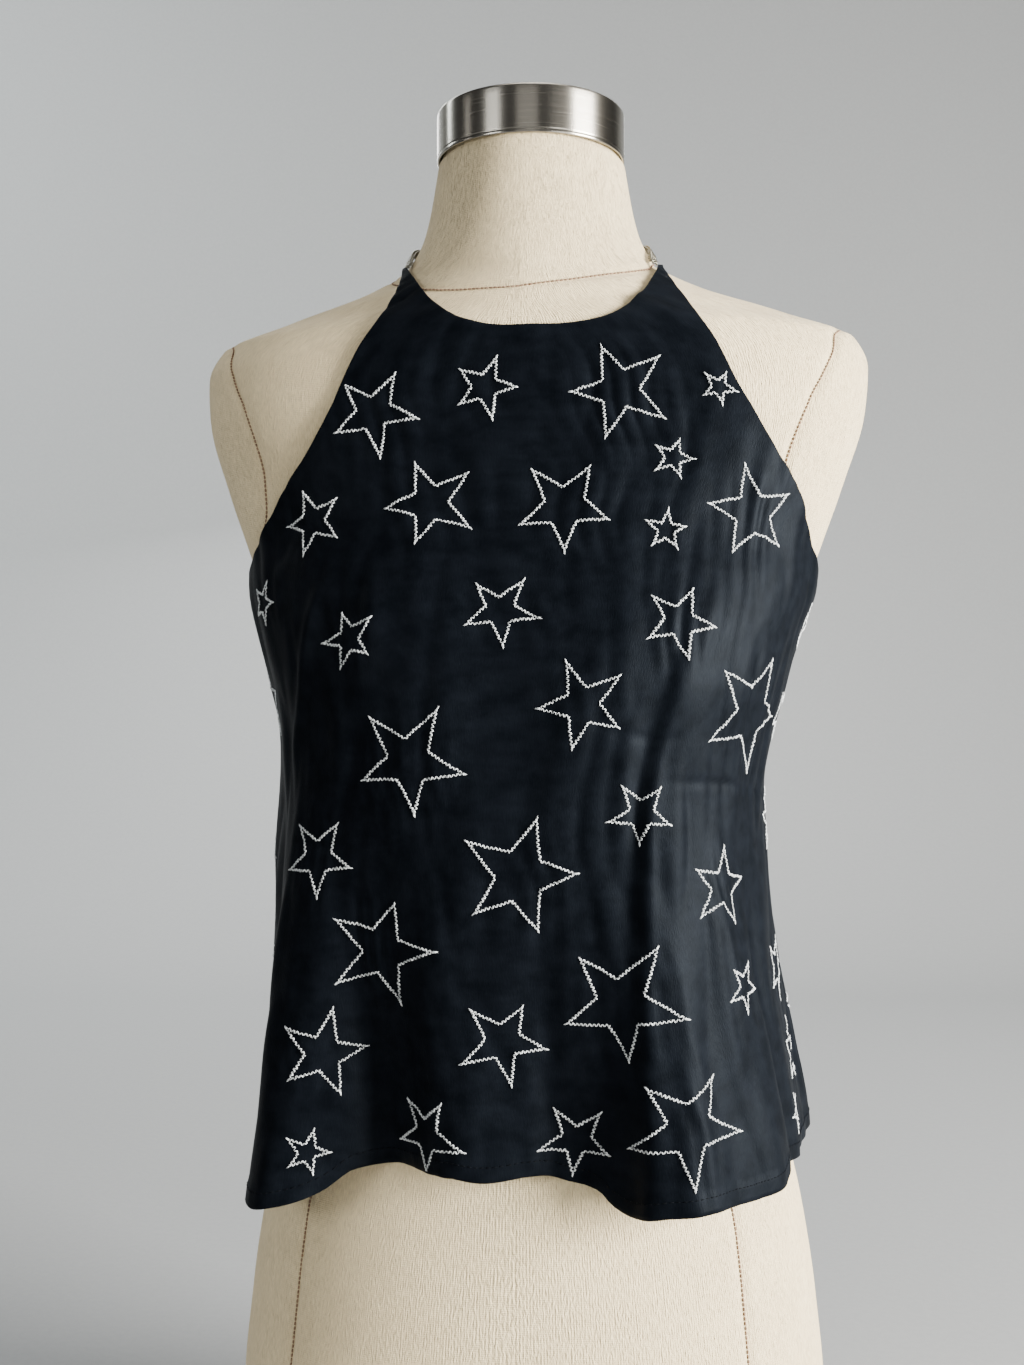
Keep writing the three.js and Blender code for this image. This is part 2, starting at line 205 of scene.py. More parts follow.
CREASES = (
    Crease(27, 500, 13, 160, width=11, height=-3.8, bow=5),
    Crease(30, 490, 22.5, 160, width=5, height=3.4, bow=-3),
    Crease(-33, 545, -52, 450, width=5, height=2.2),
    Crease(-18, 550, -40, 420, width=13, height=2.2, bow=4),
    Crease(33, 552, 37, 440, width=13, height=1.1),
    Crease(4, 560, 3, 430, width=20, height=-3.2),
    Crease(-50, 400, -51, 180, width=7, height=2.8, bow=3),
    Crease(-29, 350, -23, 180, width=9, height=-3.2),
    Crease(-10, 400, -9, 180, width=11, height=2.3, bow=-4),
    Crease(62, 400, 67, 160, width=9, height=-3.2),
    Crease(46, 430, 48, 120, width=15, height=5.5),
    Crease(37, 300, 36, 150, width=4, height=-0.9, bow=3),
    Crease(9, 470, 4, 330, width=6, height=0.9, bow=-4),
    Crease(-27, 470, -37, 395, width=4, height=-0.8, bow=3),
    Crease(-36, 330, -45, 262, width=5, height=0.8, bow=-3),
    Crease(-5, 340, 2, 262, width=5, height=-0.7, bow=2),
    Crease(52, 520, 58, 470, width=4, height=-0.9, bow=-3),
    Crease(42, 600, 47, 560, width=4, height=0.6),
    Crease(-40, 590, -50, 552, width=4, height=-0.7, bow=2),
    Crease(-20, 520, -8, 515, width=3, height=-0.5, bow=2),
    Crease(12, 470, 34, 462, width=2.6, height=-0.5, bow=-3),
    Crease(31, 440, 88, 424, width=2.2, height=-0.7, bow=4),
    Crease(-48, 409, -13, 412, width=2.2, height=-0.6, bow=-5),
    Crease(-15, 577, -3, 574, width=2.4, height=-0.5),
    Crease(27.5, 674, 26.5, 622, width=5, height=-0.8),
    Crease(-17, 678, -18, 636, width=4, height=0.5),
    Crease(-10, 676, -9, 650, width=4, height=-0.5),
    Crease(2.5, 674, 1.5, 625, width=4.5, height=0.5),
    Crease(13, 674, 14.5, 612, width=5, height=-0.6),
    Crease(20, 684, 21, 640, width=4, height=0.5),
    Crease(100, 500, 108, 300, width=11, height=1.4, bow=6),
    Crease(122, 440, 128, 246, width=10, height=-1.6),
    Crease(148, 470, 151, 244, width=12, height=1.7, bow=-5),
    Crease(166, 500, 176, 330, width=9, height=-1.2, bow=4),
    Crease(190, 430, 186, 244, width=9, height=1.1),
    Crease(206, 480, 203, 242, width=11, height=1.6, bow=5),
    Crease(231, 450, 228, 240, width=10, height=-1.5),
    Crease(252, 490, 250, 300, width=10, height=1.3, bow=-4),
    Crease(140, 512, 215, 508, width=3, height=-0.5, bow=3),
)

FRONT_STARS = (
    PhotoStar(372, 414, tip=23.5, turn=26), PhotoStar(485, 386, tip=16.5, turn=20),
    PhotoStar(620, 390, tip=26, turn=-22), PhotoStar(719, 387, tip=9, turn=28),
    PhotoStar(674, 459, tip=10.5, turn=19), PhotoStar(313, 521, tip=17.5, turn=-22),
    PhotoStar(431, 502, tip=23.5, turn=-22), PhotoStar(563, 507, tip=25, turn=33),
    PhotoStar(665, 529, tip=10.5, turn=8), PhotoStar(751, 511, tip=24.5, turn=-7),
    PhotoStar(499, 608, tip=18.5, turn=32), PhotoStar(679, 621, tip=18.5, turn=28),
    PhotoStar(264, 603, tip=11, turn=20), PhotoStar(350, 640, tip=15, turn=-22),
    PhotoStar(582, 705, tip=22, turn=-22), PhotoStar(750, 714, tip=31, turn=24),
    PhotoStar(409, 761, tip=28, turn=30), PhotoStar(641, 812, tip=16, turn=38),
    PhotoStar(316, 857, tip=20, turn=32), PhotoStar(519, 876, tip=30.5, turn=16),
    PhotoStar(718, 887, tip=20.5, turn=11), PhotoStar(383, 950, tip=28, turn=17),
    PhotoStar(621, 1003, tip=31, turn=30), PhotoStar(737, 988, tip=12.5, turn=31),
    PhotoStar(324, 1053, tip=22.5, turn=14), PhotoStar(502, 1043, tip=21.5, turn=27),
    PhotoStar(429, 1133, tip=20, turn=34), PhotoStar(577, 1140, tip=18, turn=41),
    PhotoStar(689, 1128, tip=28.5, turn=30), PhotoStar(306, 1154, tip=11.5, turn=18),
)

SIDE_STARS = (
    Star(-75, 480, tip=21, turn=5), Star(-77, 328, tip=18, turn=20), Star(-78, 395, tip=10, turn=30),
    Star(87, 521, tip=13, turn=12), Star(85, 473, tip=14, turn=30), Star(86, 415, tip=16, turn=-8),
    Star(81, 334, tip=17, turn=26), Star(86, 286, tip=18, turn=8), Star(76, 257, tip=11, turn=-20),
)

BACK_STARS = (
    Star(109, 497, tip=20, turn=12), Star(129, 472, tip=12, turn=30), Star(146, 495, tip=20, turn=-20),
    Star(170, 482, tip=27, turn=8), Star(193, 500, tip=11, turn=25), Star(212, 480, tip=22, turn=-12),
    Star(236, 503, tip=16, turn=33), Star(256, 478, tip=19, turn=5), Star(108, 430, tip=22, turn=24),
    Star(134, 413, tip=17, turn=-8), Star(155, 438, tip=13, turn=18), Star(174, 414, tip=21, turn=-30),
    Star(200, 430, tip=25, turn=14), Star(224, 414, tip=15, turn=30), Star(247, 422, tip=21, turn=-15),
    Star(109, 367, tip=14, turn=5), Star(134, 353, tip=19, turn=20), Star(157, 368, tip=17, turn=-25),
    Star(183, 352, tip=26, turn=10), Star(208, 368, tip=15, turn=28), Star(231, 350, tip=19, turn=-5),
    Star(255, 362, tip=16, turn=16), Star(104, 306, tip=22, turn=-18), Star(124, 292, tip=13, turn=12),
    Star(145, 290, tip=23, turn=30), Star(167, 298, tip=14, turn=-10), Star(190, 284, tip=22, turn=22),
    Star(214, 296, tip=26, turn=0), Star(237, 284, tip=16, turn=-28), Star(256, 300, tip=21, turn=14),
    Star(112, 262, tip=10, turn=8), Star(170, 260, tip=10, turn=34),
)


def smoothstep(value: Array, low: float, high: float) -> Array:
    """Return 0 below low, 1 above high, and a smooth rise between them."""
    share = np.clip((value - low) / (high - low), 0, 1)
    return share * share * (3 - 2 * share)


def signed(degrees: Array) -> Array:
    """Return the same angles between -180 and 180."""
    return np.mod(degrees + 180, 360) - 180


def unit(vectors: Array) -> Array:
    """Return the vectors at length 1."""
    return vectors / np.maximum(np.linalg.norm(vectors, axis=-1, keepdims=True), 1e-9)


class Curve:
    """A smooth curve through a table's rows, which never overshoots them."""

    def __init__(self, at: Sequence[float], values: Sequence[float]) -> None:
        """Work out the slope at each row.

        Args:
            at: Where the rows stand, rising.
            values: The value of each row.
        """
        self.at = np.asarray(at, float)
        self.values = np.asarray(values, float)
        slopes = np.diff(self.values) / np.diff(self.at)
        before, after = slopes[:-1], slopes[1:]
        same_way = before * after > 0
        total = np.where(same_way, before + after, 1.0)
        inner = np.where(same_way, 2 * before * after / total, 0.0)
        self.bends = np.concatenate([slopes[:1], inner, slopes[-1:]])

    def __call__(self, where: Array) -> Array:
        """Return the curve's values, held at its ends outside the table."""
        where = np.clip(where, self.at[0], self.at[-1])
        i = np.clip(np.searchsorted(self.at, where) - 1, 0, len(self.at) - 2)
        width = self.at[i + 1] - self.at[i]
        s = (where - self.at[i]) / width
        start = self.values[i] * (1 + 2 * s) * (1 - s) ** 2
        end = self.values[i + 1] * s**2 * (3 - 2 * s)
        return start + end + width * (self.bends[i] * s * (1 - s) ** 2 - self.bends[i + 1] * s**2 * (1 - s))


class Outline:
    """A rounded outline whose sizes change smoothly with its height."""

    def __init__(self, sections: Sequence[Section]) -> None:
        """Make one curve for each size of the sections."""
        heights = [section.z for section in sections]
        names = [entry.name for entry in fields(Section) if entry.name != "z"]
        self.curves = {name: Curve(heights, [getattr(s, name) for s in sections]) for name in names}

    def size(self, name: str, z: Array) -> Array:
        """Return one of the sizes at the given heights."""
        return self.curves[name](z)

    def point(self, degrees: Array, z: Array) -> tuple[Array, Array]:
        """Return x and y of the outline at the given angles and heights, without its shift."""
        turn = np.radians(degrees)
        across, ahead = np.sin(turn), np.cos(turn)
        reach = np.where(ahead >= 0, self.size("front", z), self.size("back", z))
        power = 2 / self.size("power", z)
        x = self.size("side", z) * np.sign(across) * np.abs(across) ** power
        return x, -reach * np.sign(ahead) * np.abs(ahead) ** power


class Surface:
    """A surface that gives a point for each angle and height."""

    def point(self, degrees: Array, z: Array) -> Array:
        """Return the points at the given angles and heights."""
        raise NotImplementedError

    def around(self, degrees: Array, z: Array) -> Array:
        """Return how far a point moves for each degree."""
        return (self.point(degrees + NUDGE, z) - self.point(degrees - NUDGE, z)) / (2 * NUDGE)

    def upward(self, degrees: Array, z: Array) -> Array:
        """Return how far a point moves for each millimetre of height."""
        return (self.point(degrees, z + NUDGE) - self.point(degrees, z - NUDGE)) / (2 * NUDGE)

    def normal(self, degrees: Array, z: Array) -> Array:
        """Return the directions straight out of the surface."""
        return unit(np.cross(self.around(degrees, z), self.upward(degrees, z)))


@dataclass
class FormSurface(Surface):
    """The padded torso's surface."""

    bust_side: float = 70.0
    bust_z: float = 487.0
    bust_out: float = 19.0
    bust_across: float = 35.0
    bust_up: float = 42.0
    outline: Outline = field(default_factory=lambda: Outline(FORM_SECTIONS))

    def bust(self, x: Array, z: Array) -> Array:
        """Return how far the bust stands out of the plain section."""
        rise = ((z - self.bust_z) / self.bust_up) ** 2
        left = np.exp(-(((x - self.bust_side) / self.bust_across) ** 2 + rise) / 2)
        right = np.exp(-(((x + self.bust_side) / self.bust_across) ** 2 + rise) / 2)
        return self.bust_out * (left + right)

    def point(self, degrees: Array, z: Array) -> Array:
        """Return the points at the given angles and heights."""
        degrees, z = np.broadcast_arrays(np.asarray(degrees, float), np.asarray(z, float))
        x, y = self.outline.point(degrees, z)
        facing = np.clip(-y / self.outline.size("front", z), 0, 1)
        return np.stack([x, y - self.bust(x, z) * facing, z], axis=-1)


@dataclass
class ClothSurface(Surface):
    """The cloth's middle surface: loose below the arms, and lying on the chest above them."""

    form: FormSurface
    worn_turn: float = 3.5
    side_seam: float = 92.0
    underarm: float = 545.0
    chest_all: float = 600.0
    chest_ease: float = 2.6
    flute_growth: float = 1.4
    outline: Outline = field(default_factory=lambda: Outline(TOP_SECTIONS))
    hem_curve: Curve = field(default_factory=lambda: Curve(HEM_ANGLES, HEM_HEIGHTS))

    def hem(self, degrees: Array) -> Array:
        """Return the hem's height at the given angles."""
        return self.hem_curve(signed(np.asarray(degrees, float)))

    def flute_out(self, degrees: Array, z: Array) -> Array:
        """Return how far the flutes carry the cloth out of its plain section."""
        foot = float(self.hem(0.0))
        out = np.zeros(np.shape(z))
        for flute in FLUTES:
            apart = signed(degrees - flute.angle)
            share = np.maximum(0, (flute.top - z) / (flute.top - foot))
            out = out + flute.out * np.exp(-((apart / flute.spread) ** 2)) * share**self.flute_growth
        return out

    def point(self, degrees: Array, z: Array) -> Array:
        """Return the points at the given angles and heights."""
        degrees, z = np.broadcast_arrays(np.asarray(degrees, float), np.asarray(z, float))
        turn = np.radians(degrees)
        x, y = self.outline.point(degrees, z)
        out = self.flute_out(degrees, z)
        x = x + self.outline.size("shift", z) + out * np.sin(turn)
        loose = np.stack([x, y - out * np.cos(turn), z], axis=-1)
        chest = self.form.point(degrees, z) + self.form.normal(degrees, z) * self.chest_ease
        share = smoothstep(z, self.underarm, self.chest_all)[..., None]
        return loose * (1 - share) + chest * share


@dataclass(frozen=True)
class Viewpoint:
    """Where the photograph was taken from, and how its pixels lie."""

    azimuth: float = 7.0
    distance: float = 880.0
    height: float = 490.0
    focal_px: float = 1530.0
    axis_px: float = 532.0
    frame_width: int = 1024
    frame_height: int = 1365
    film: float = 36.0

    @property
    def right(self) -> Array:
        """Return the direction to the right of the picture."""
        turn = math.radians(self.azimuth)
        return np.array([math.cos(turn), math.sin(turn), 0.0])

    @property
    def ahead(self) -> Array:
        """Return the direction into the picture."""
        turn = math.radians(self.azimuth)
        return np.array([-math.sin(turn), math.cos(turn), 0.0])

    @property
    def place(self) -> Array:
        """Return where the camera stands."""
        aside = (self.axis_px - self.frame_width / 2) * self.distance / self.focal_px
        return -self.ahead * self.distance - self.right * aside + np.array([0.0, 0.0, self.height])

    def pixels(self, points: Array) -> tuple[Array, Array]:
        """Return the picture's x and y of the points."""
        away = points - self.place
        depth = away @ self.ahead
        x = self.frame_width / 2 + self.focal_px * (away @ self.right) / depth
        return x, self.frame_height / 2 - self.focal_px * away[..., 2] / depth

    def find(self, cloth: ClothSurface, stars: Sequence[PhotoStar]) -> list[Star]:
        """Return the stars at the places on the cloth that the photograph shows them at."""
        angles, heights = np.meshgrid(np.arange(-90, 97, 0.5), np.arange(218, 715, 1.5))
        points = cloth.point(angles, heights)
        facing = np.sum(cloth.normal(angles, heights) * (self.place - points), axis=-1) > 0
        x, y = self.pixels(points)
        found = []
        for star in stars:
            miss = np.hypot(x - star.photo_x, y - star.photo_y) + np.where(facing, 0, 1e6)
            best = np.unravel_index(np.argmin(miss), miss.shape)
            found.append(Star(float(angles[best]), float(heights[best]), star.tip, star.turn))
        return found

    def make_camera(self) -> None:
        """Set up the scene's camera."""
        data = bpy.data.cameras.new("camera")
        data.sensor_fit = "AUTO"
        data.sensor_width = self.film
        data.lens = self.focal_px / self.frame_height * self.film
        camera = bpy.data.objects.new("camera", data)
        camera.location = self.place * MM
        camera.rotation_euler = (math.radians(90), 0.0, math.radians(self.azimuth))
        bpy.context.scene.collection.objects.link(camera)
        bpy.context.scene.camera = camera


@dataclass
class Relief:
    """How far the cloth stands off its plain surface: creases, puckers round the stars and soft folds."""

    cloth: ClothSurface
    stars: Sequence[Star]
    mm_per_degree: float = 2.4
    pucker_height: float = 1.5
    pucker_wave: float = 8.5
    pucker_sway: float = 1.8
    drift_height: float = 2.3
    drift_size: float = 46.0
    crumple_height: float = 3.0
    crumple_width: float = 17.0
    crumple_length: float = 75.0
    least_on_chest: float = -1.2

    def crease(self, u: Array, z: Array, crease: Crease) -> Array:
        """Return one crease's height at the given places."""
        start = np.array([crease.angle * self.mm_per_degree, crease.z])
        end = np.array([crease.to_angle * self.mm_per_degree, crease.to_z])
        along = end - start
        length = float(np.hypot(*along))
        along = along / length
        du, dz = u - start[0], z - start[1]
        share = (du * along[0] + dz * along[1]) / length
        bow = crease.bow * 4 * np.clip(share, 0, 1) * (1 - np.clip(share, 0, 1))
        aside = -du * along[1] + dz * along[0] - bow
        ends = smoothstep(share, -0.1, 0.25) * (1 - smoothstep(share, 0.8, 1.12))
        return crease.height * np.exp(-((aside / crease.width) ** 2)) * ends

    def pucker(self, u: Array, z: Array, star: Star, number: int) -> Array:
        """Return the pull of one star's stitches: short upright furrows in and round it."""
        du = signed(u / self.mm_per_degree - star.angle) * self.mm_per_degree
        dz = z - star.z
        reach = star.tip * 0.85
        near = np.exp(-((du / reach) ** 2) - ((dz + 0.2 * reach) / (reach * 1.25)) ** 2)
        sway = self.pucker_sway * np.sin(dz / 9.0 + 1.3 * number) + 0.14 * dz
        phase = math.pi * (du + sway) / (self.pucker_wave * (1 + 0.2 * math.sin(2.3 * number))) + 1.9 * number
        furrows = np.sqrt(np.sin(phase) ** 2 + 0.03) - 0.62
        uneven = 0.75 + 0.25 * np.sin(du / 6.0 + 0.7 * number)
        return self.pucker_height * min(1.0, star.tip / 18) * near * furrows * uneven

    def drift(self, u: Array, z: Array) -> Array:
        """Return slow uneven swells, longer up and down than across."""
        size = self.drift_size
        flat_u, flat_z = np.ravel(u) / size, np.ravel(z) / (2.6 * size)
        broad = [noise.noise(Vector((a, b, 3.7))) for a, b in zip(flat_u, flat_z)]
        fine = [noise.noise(Vector((2.7 * a, 1.9 * b, 8.1))) for a, b in zip(flat_u, flat_z)]
        return self.drift_height * (np.array(broad) + 0.35 * np.array(fine)).reshape(np.shape(u))

    def crumple(self, u: Array, z: Array) -> Array:
        """Return fine uneven furrows that run up and down, sharper at their bottoms."""
        across, up = np.ravel(u) / self.crumple_width, np.ravel(z) / self.crumple_length
        furrows = np.array([noise.noise(Vector((a, b, 5.3))) for a, b in zip(across, up)])
        return (self.crumple_height * (np.sqrt(furrows**2 + 0.004) - 0.2)).reshape(np.shape(u))

    def height(self, degrees: Array, z: Array) -> Array:
        """Return the relief at the given angles and heights."""
        u = degrees * self.mm_per_degree
        total = sum((self.crease(u, z, crease) for crease in CREASES), np.zeros(np.shape(z)))
        for number, star in enumerate(self.stars):
            total = total + self.pucker(u, z, star, number)
        loose = 1 - 0.8 * smoothstep(z, 480.0, 600.0)
        total = total + self.drift(u, z) * loose + self.crumple(u, z)
        above = z - self.cloth.hem(degrees)
        total = total + 0.22 * np.sin(2 * math.pi * u / 6.5) * np.exp(-(((above - 9) / 4) ** 2))
        floor = self.least_on_chest - 4.0 * (1 - smoothstep(z, 500.0, 570.0))
        return np.maximum(total, floor)


class MeshParts:
    """Points and faces that are gathered into one mesh."""

    def __init__(self) -> None:
        """Start with nothing."""
        self.points: list[Array] = []
        self.faces: list[Array] = []
        self.count = 0

    def add(self, points: Array, faces: Array) -> None:
        """Add points, in millimetres, and four-sided or three-sided faces among them."""
        points = points.reshape(-1, 3)
        self.points.append(points)
        self.faces.append(faces + self.count)
        self.count += len(points)

    def build(self, name: str, material: bpy.types.Material, slot: Optional[Slot] = None,
              grain: Optional[Array] = None) -> bpy.types.Object:
        """Make the object and let it ride on the body.

        Args:
            name: The piece's name.
            material: Its material.
            slot: The record's slot for the piece; it is not used.
            grain: Where each point lies in the flat cloth, in millimetres.

        Returns:
            The new object.
        """
        mesh = bpy.data.meshes.new(name)
        corners = [face.tolist() for faces in self.faces for face in faces]
        mesh.from_pydata((np.concatenate(self.points) * MM).tolist(), [], corners)
        mesh.polygons.foreach_set("use_smooth", np.ones(len(mesh.polygons), bool))
        if grain is not None:
            layer = mesh.attributes.new("grain", "FLOAT_VECTOR", "POINT")
            layer.data.foreach_set("vector", grain.astype(np.float32).ravel())
        mesh.materials.append(material)
        mesh.update()
        piece = bpy.data.objects.new(name, mesh)
        bpy.context.scene.collection.objects.link(piece)
        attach(piece, BODY)
        triangles = sum(len(polygon.vertices) - 2 for polygon in mesh.polygons)
        LOG.info("%s: %d points, %d triangles", name, len(mesh.vertices), triangles)
        return piece


def grid_faces(rows: int, columns: int, closed: bool = False) -> Array:
    """Return the faces of a grid of points, row by row.

    Args:
        rows: How many rows of points there are.
        columns: How many points a row has.
        closed: Whether each row joins up with its own start.

    Returns:
        Four point numbers for each face.
    """
    j, i = np.meshgrid(np.arange(rows - 1), np.arange(columns if closed else columns - 1), indexing="ij")
    after = (i + 1) % columns
    corners = [j * columns + i, j * columns + after, (j + 1) * columns + after, (j + 1) * columns + i]
    return np.stack(corners, axis=-1).reshape(-1, 4)


def add_turned(parts: MeshParts, profile: Array, origin: Array, axis: Array, sides: int) -> None:
    """Add a turned piece, from a profile of radius and distance along its axis.

    Args:
        parts: Where the piece goes.
        profile: Rows of radius and distance, from one end to the other.
        origin: Where the axis starts.
        axis: Which way it points.
        sides: How many sides the piece has round its axis.
    """
    axis = unit(axis)
    helper = np.array([0.0, 0.0, 1.0]) if abs(axis[2]) < 0.9 else np.array([1.0, 0.0, 0.0])
    first = unit(np.cross(helper, axis))
    second = np.cross(axis, first)
    turn = np.linspace(0, 2 * math.pi, sides, endpoint=False)
    ring = np.cos(turn)[:, None] * first + np.sin(turn)[:, None] * second
    points = origin + profile[:, 1, None, None] * axis + profile[:, 0, None, None] * ring
    parts.add(points, grid_faces(len(profile), sides, closed=True))


def add_rings(parts: MeshParts, centres: Array, across: Array, along: Array, radius: float, wire: float) -> None:
    """Add round wire rings.

    Args:
        parts: Where the rings go.
        centres: The middle of each ring.
        across: One direction in each ring's plane.
        along: The other direction in its plane.
        radius: From the ring's middle to the middle of its wire.
        wire: Half the wire's thickness.
    """
    major, minor = 10, 4
    turn = np.linspace(0, 2 * math.pi, major, endpoint=False)[None, :, None, None]
    tube = np.linspace(0, 2 * math.pi, minor, endpoint=False)[None, None, :, None]
    across, along = across[:, None, None, :], along[:, None, None, :]
    outward = np.cos(turn) * across + np.sin(turn) * along
    upward = np.cross(across, along)
    points = centres[:, None, None, :] + outward * (radius + wire * np.cos(tube)) + upward * wire * np.sin(tube)
    i, j = np.meshgrid(np.arange(major), np.arange(minor), indexing="ij")
    i2, j2 = (i + 1) % major, (j + 1) % minor
    one = np.stack([i * minor + j, i2 * minor + j, i2 * minor + j2, i * minor + j2], axis=-1).reshape(-1, 4)
    faces = one[None] + (np.arange(len(centres)) * major * minor)[:, None, None]
    parts.add(points, faces.reshape(-1, 4))


def add_stitches(parts: MeshParts, starts: Array, ends: Array, out: Array, radius: Array, lift: float) -> None:
    """Add plump stitches whose two ends sink into the cloth.

    Args:
        parts: Where the stitches go.
        starts: Where each stitch comes up.
        ends: Where it goes down.
        out: The direction out of the cloth at each stitch.
        radius: Half the thread's thickness at each stitch.
        lift: How high the thread's middle lies, in thread radii.
    """
    sides = 4
    along = unit(ends - starts)
    aside = unit(np.cross(along, out))
    turn = np.linspace(0, 2 * math.pi, sides, endpoint=False) + math.pi / 4
    radius = radius[:, None, None]
    ring = np.cos(turn)[None, :, None] * aside[:, None, :] + np.sin(turn)[None, :, None] * out[:, None, :]
    layers = [starts[:, None, :]]
    for share in (0.24, 0.76):
        middle = (starts * (1 - share) + ends * share)[:, None, :] + out[:, None, :] * radius * lift
        layers.append(middle + ring * radius)
    layers.append(ends[:, None, :])
    points = np.concatenate(layers, axis=1)
    near, far, last = 1, 1 + sides, 1 + 2 * sides
    quads, tips = [], []
    for k in range(sides):
        k2 = (k + 1) % sides
        quads.append([near + k2, near + k, far + k, far + k2])
        tips += [[0, near + k, near + k2], [last, far + k2, far + k]]
    step = (np.arange(len(starts)) * (last + 1))[:, None, None]
    base = parts.count
    parts.add(points, (np.array(quads)[None] + step).reshape(-1, 4))
    parts.faces.append((np.array(tips)[None] + step).reshape(-1, 3) + base)


class Shader:
    """A new material with the few node steps that a finish needs."""

    def __init__(self, name: str, sockets: dict[str, object]) -> None:
        """Make the material.

        Args:
            name: The material's name.
            sockets: The values that are the same all over it, by the name of their socket.
        """
        self.material = bpy.data.materials.new(name)
        self.material.use_nodes = True
        self.tree = self.material.node_tree
        self.surface = self.tree.nodes["Principled BSDF"]
        for socket, value in sockets.items():
            self.surface.inputs[socket].default_value = value

    def node(self, kind: str, inputs: dict[str, object], **settings: object) -> bpy.types.Node:
        """Add a node.

        Args:
            kind: The node's type.
            inputs: Values or outputs of other nodes, by the name of the input.
            settings: The node's own settings.

        Returns:
            The new node.
        """
        node = self.tree.nodes.new(kind)
        for name, value in settings.items():
            setattr(node, name, value)
        for name, value in inputs.items():
            if isinstance(value, bpy.types.NodeSocket):
                self.tree.links.new(value, node.inputs[name])
            else:
                node.inputs[name].default_value = value
        return node

    def grain(self) -> bpy.types.NodeSocket:
        """Return the place in the flat cloth, in millimetres."""
        return self.node("ShaderNodeAttribute", {}, attribute_name="grain").outputs["Vector"]

    def place(self) -> bpy.types.NodeSocket:
        """Return the place on the object, in metres."""
        return self.node("ShaderNodeTexCoord", {}).outputs["Object"]

    def stretch(self, vector: bpy.types.NodeSocket, scale: tuple[float, float, float]) -> bpy.types.NodeSocket:
        """Return the vector with each of its parts scaled."""
        return self.node("ShaderNodeMapping", {"Vector": vector, "Scale": scale}).outputs["Vector"]

    def noise(self, vector: bpy.types.NodeSocket, scale: float, detail: float = 3.0) -> bpy.types.NodeSocket:
        """Return a noise pattern."""
        inputs = {"Vector": vector, "Scale": scale, "Detail": detail, "Roughness": 0.6}
        return self.node("ShaderNodeTexNoise", inputs).outputs["Fac"]

    def wave(self, vector: bpy.types.NodeSocket, scale: float, direction: str) -> bpy.types.NodeSocket:
        """Return even threads that follow each other along X, Y or the diagonal."""
        inputs = {"Vector": vector, "Scale": scale, "Distortion": 0.6, "Detail": 1.0}
        return self.node("ShaderNodeTexWave", inputs, bands_direction=direction).outputs["Fac"]

    def blend(self, share: bpy.types.NodeSocket, low: Sequence[float], high: Sequence[float],
              span: tuple[float, float] = (0.35, 0.65)) -> bpy.types.NodeSocket:
        """Return a colour between two, by a pattern."""
        ramp = self.node("ShaderNodeValToRGB", {"Fac": share})
        first, last = ramp.color_ramp.elements
        first.position, last.position = span
        first.color, last.color = (*low, 1), (*high, 1)
        return ramp.outputs["Color"]

    def spread(self, share: bpy.types.NodeSocket, low: float, high: float) -> bpy.types.NodeSocket:
        """Return a number between two, by a pattern."""
        return self.node("ShaderNodeMapRange", {"Value": share, "To Min": low, "To Max": high}).outputs["Result"]

    def bump(self, height: bpy.types.NodeSocket, strength: float, distance: float,
             under: Optional[bpy.types.NodeSocket] = None) -> bpy.types.NodeSocket:
        """Return the normal of a bumpy surface, over another one where it is given."""
        inputs: dict[str, object] = {"Height": height, "Strength": strength, "Distance": distance}
        if under is not None:
            inputs["Normal"] = under
        return self.node("ShaderNodeBump", inputs).outputs["Normal"]

    def finish(self, **outputs: bpy.types.NodeSocket) -> bpy.types.Material:
        """Link patterns to the surface's sockets, with _ for a space, and return the material."""
        for name, output in outputs.items():
            self.tree.links.new(output, self.surface.inputs[name.replace("_", " ")])
        return self.material


@dataclass(frozen=True)
class NavySatin:
    """Near-black navy satin with a soft broad sheen."""

    dark: tuple[float, float, float] = (0.0015, 0.0021, 0.0032)
    light: tuple[float, float, float] = (0.0033, 0.0043, 0.0062)
    roughness: tuple[float, float] = (0.42, 0.54)

    def make(self) -> bpy.types.Material:
        """Return the material."""
        shader = Shader("navy_satin", {
            "Specular IOR Level": 0.036, "Specular Tint": (0.74, 0.86, 1.0, 1.0), "Sheen Weight": 0.005,
            "Sheen Roughness": 0.4, "Sheen Tint": (0.6, 0.72, 0.9, 1.0)})
        grain = shader.grain()
        streaks = shader.noise(shader.stretch(grain, (1.6, 0.3, 1.0)), 1.0, 3.0)
        mottle = shader.noise(grain, 0.09, 3.0)
        weave = shader.wave(grain, 0.9, "DIAGONAL")
        normal = shader.bump(weave, 0.10, 0.00005)
        normal = shader.bump(streaks, 0.6, 0.00025, normal)
        return shader.finish(
            Base_Color=shader.blend(mottle, self.dark, self.light),
            Roughness=shader.spread(streaks, *self.roughness), Normal=normal)


@dataclass(frozen=True)
class SilverThread:
    """Pale silver embroidery thread."""

    dark: tuple[float, float, float] = (0.26, 0.27, 0.27)
    light: tuple[float, float, float] = (0.90, 0.93, 0.92)

    def make(self) -> bpy.types.Material:
        """Return the material."""
        shader = Shader("silver_thread", {"Metallic": 0.1, "Roughness": 0.5, "Sheen Weight": 0.2})
        place = shader.place()
        plies = shader.wave(place, 900.0, "DIAGONAL")
        uneven = shader.noise(place, 900.0)
        return shader.finish(
            Base_Color=shader.blend(uneven, self.dark, self.light), Normal=shader.bump(plies, 0.4, 0.0001))


